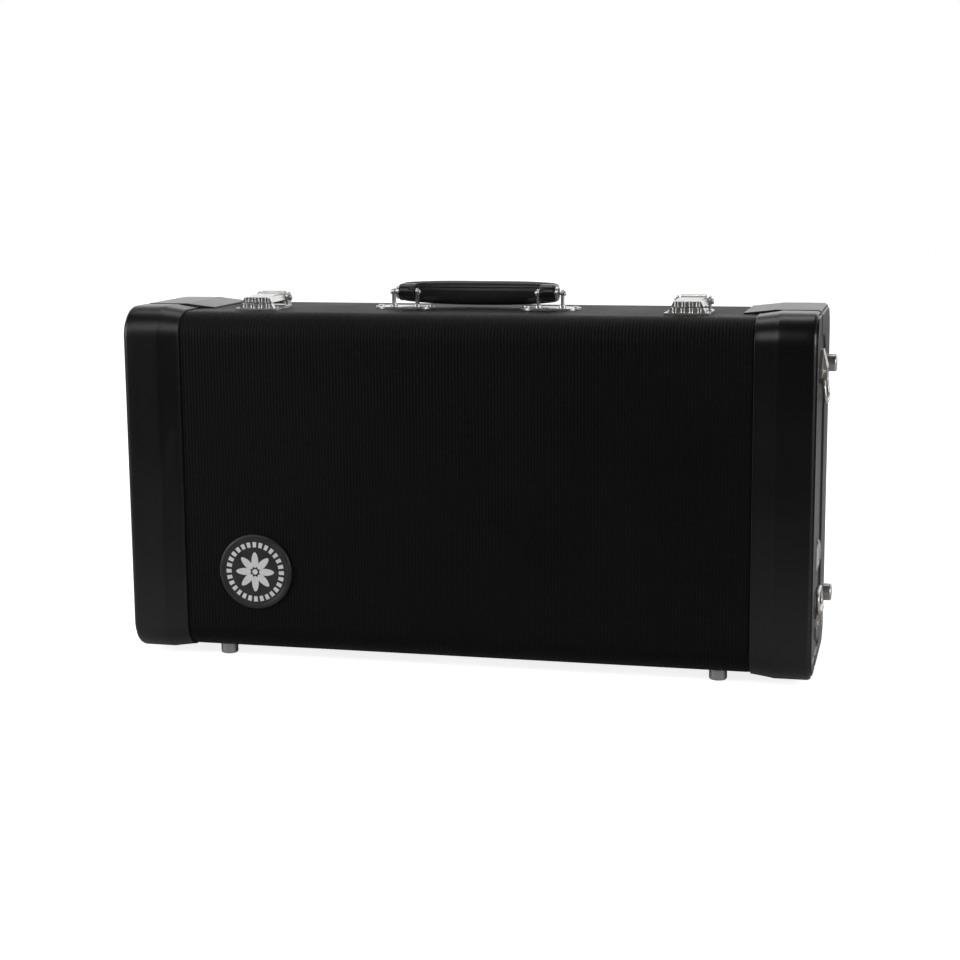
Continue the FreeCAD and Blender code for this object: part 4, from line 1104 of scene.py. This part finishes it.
def make_world():
    """White background, and a room that is bright only low down behind the object."""
    world = bpy.data.worlds.new("studio")
    bpy.context.scene.world = world
    world.use_nodes = True
    tree = world.node_tree
    tree.nodes.clear()
    output = tree.nodes.new("ShaderNodeOutputWorld")
    white = tree.nodes.new("ShaderNodeBackground")
    white.inputs["Color"].default_value = (1, 1, 1, 1)
    room = tree.nodes.new("ShaderNodeBackground")
    coords = tree.nodes.new("ShaderNodeTexCoord")
    split = tree.nodes.new("ShaderNodeSeparateXYZ")
    tree.links.new(coords.outputs["Generated"], split.inputs[0])
    behind = fade(tree, split.outputs["Y"], *ROOM_BACK)
    low = fade(tree, split.outputs["Z"], *ROOM_LOW)
    both = tree.nodes.new("ShaderNodeMath")
    both.operation = "MULTIPLY"
    tree.links.new(behind, both.inputs[0])
    tree.links.new(low, both.inputs[1])
    tree.links.new(both.outputs[0], room.inputs["Color"])
    mix = tree.nodes.new("ShaderNodeMixShader")
    tree.links.new(seen_directly(tree), mix.inputs[0])
    tree.links.new(room.outputs[0], mix.inputs[1])
    tree.links.new(white.outputs[0], mix.inputs[2])
    tree.links.new(mix.outputs[0], output.inputs[0])


# (name, place, target, width, height, power)
LAMPS = (
    ("top_box", (-0.2, 0.5, 1.75), (0, 0, 0.2), 1.5, 0.5, 6),
    ("front_box", (-0.62, -1.55, 1.45), (0, 0, 0.25), 0.95, 0.9, 6),
    ("left_box", (-1.9, -1.15, 0.8), (0, 0, 0.15), 0.8, 1.2, 19),
    ("right_box", (2.0, -1.0, 0.8), (0.1, 0, 0.15), 0.8, 1.2, 19),
)


def make_lights():
    for lamp in LAMPS:
        area_light(*lamp)


# Camera, from the photograph's own perspective

CAMERA_PLACE = (0.36337, -1.49035, 0.39977)
CAMERA_YAW = -0.238289
CAMERA_PITCH = 0.171770
CAMERA_ROLL = 0.007832
FOCAL_PIXELS = 1908.16
CENTRE_PIXEL = (480.67, 491.25)
PHOTO_WIDTH = 960
SENSOR_WIDTH = 36.0


def make_camera():
    cy, sy = math.cos(CAMERA_YAW), math.sin(CAMERA_YAW)
    cp, sp = math.cos(CAMERA_PITCH), math.sin(CAMERA_PITCH)
    forward = Vector((sy * cp, cy * cp, -sp))
    right = Vector((cy, -sy, 0.0))
    down = forward.cross(right)
    cr, sr = math.cos(CAMERA_ROLL), math.sin(CAMERA_ROLL)
    tilted_right = right * cr + down * sr
    tilted_down = down * cr - right * sr
    turn = Matrix((tilted_right, -tilted_down, -forward)).transposed()
    data = bpy.data.cameras.new("camera")
    data.sensor_width = SENSOR_WIDTH
    data.lens = FOCAL_PIXELS * SENSOR_WIDTH / PHOTO_WIDTH
    data.shift_x = -(CENTRE_PIXEL[0] - PHOTO_WIDTH / 2) / PHOTO_WIDTH
    data.shift_y = (CENTRE_PIXEL[1] - PHOTO_WIDTH / 2) / PHOTO_WIDTH
    data.clip_start = 0.05
    data.clip_end = 50
    camera = bpy.data.objects.new("camera", data)
    camera.matrix_world = Matrix.Translation(CAMERA_PLACE) @ turn.to_4x4()
    bpy.context.scene.collection.objects.link(camera)
    bpy.context.scene.camera = camera


make_camera()
dress_nodes()
make_caps()
make_cover("lid", -1, "lid")
make_cover("body", 1, "case_body")
make_badge()
make_grip()
make_film()
make_padding()
make_floor()
make_world()
make_lights()

bpy.context.scene.view_settings.view_transform = "Standard"
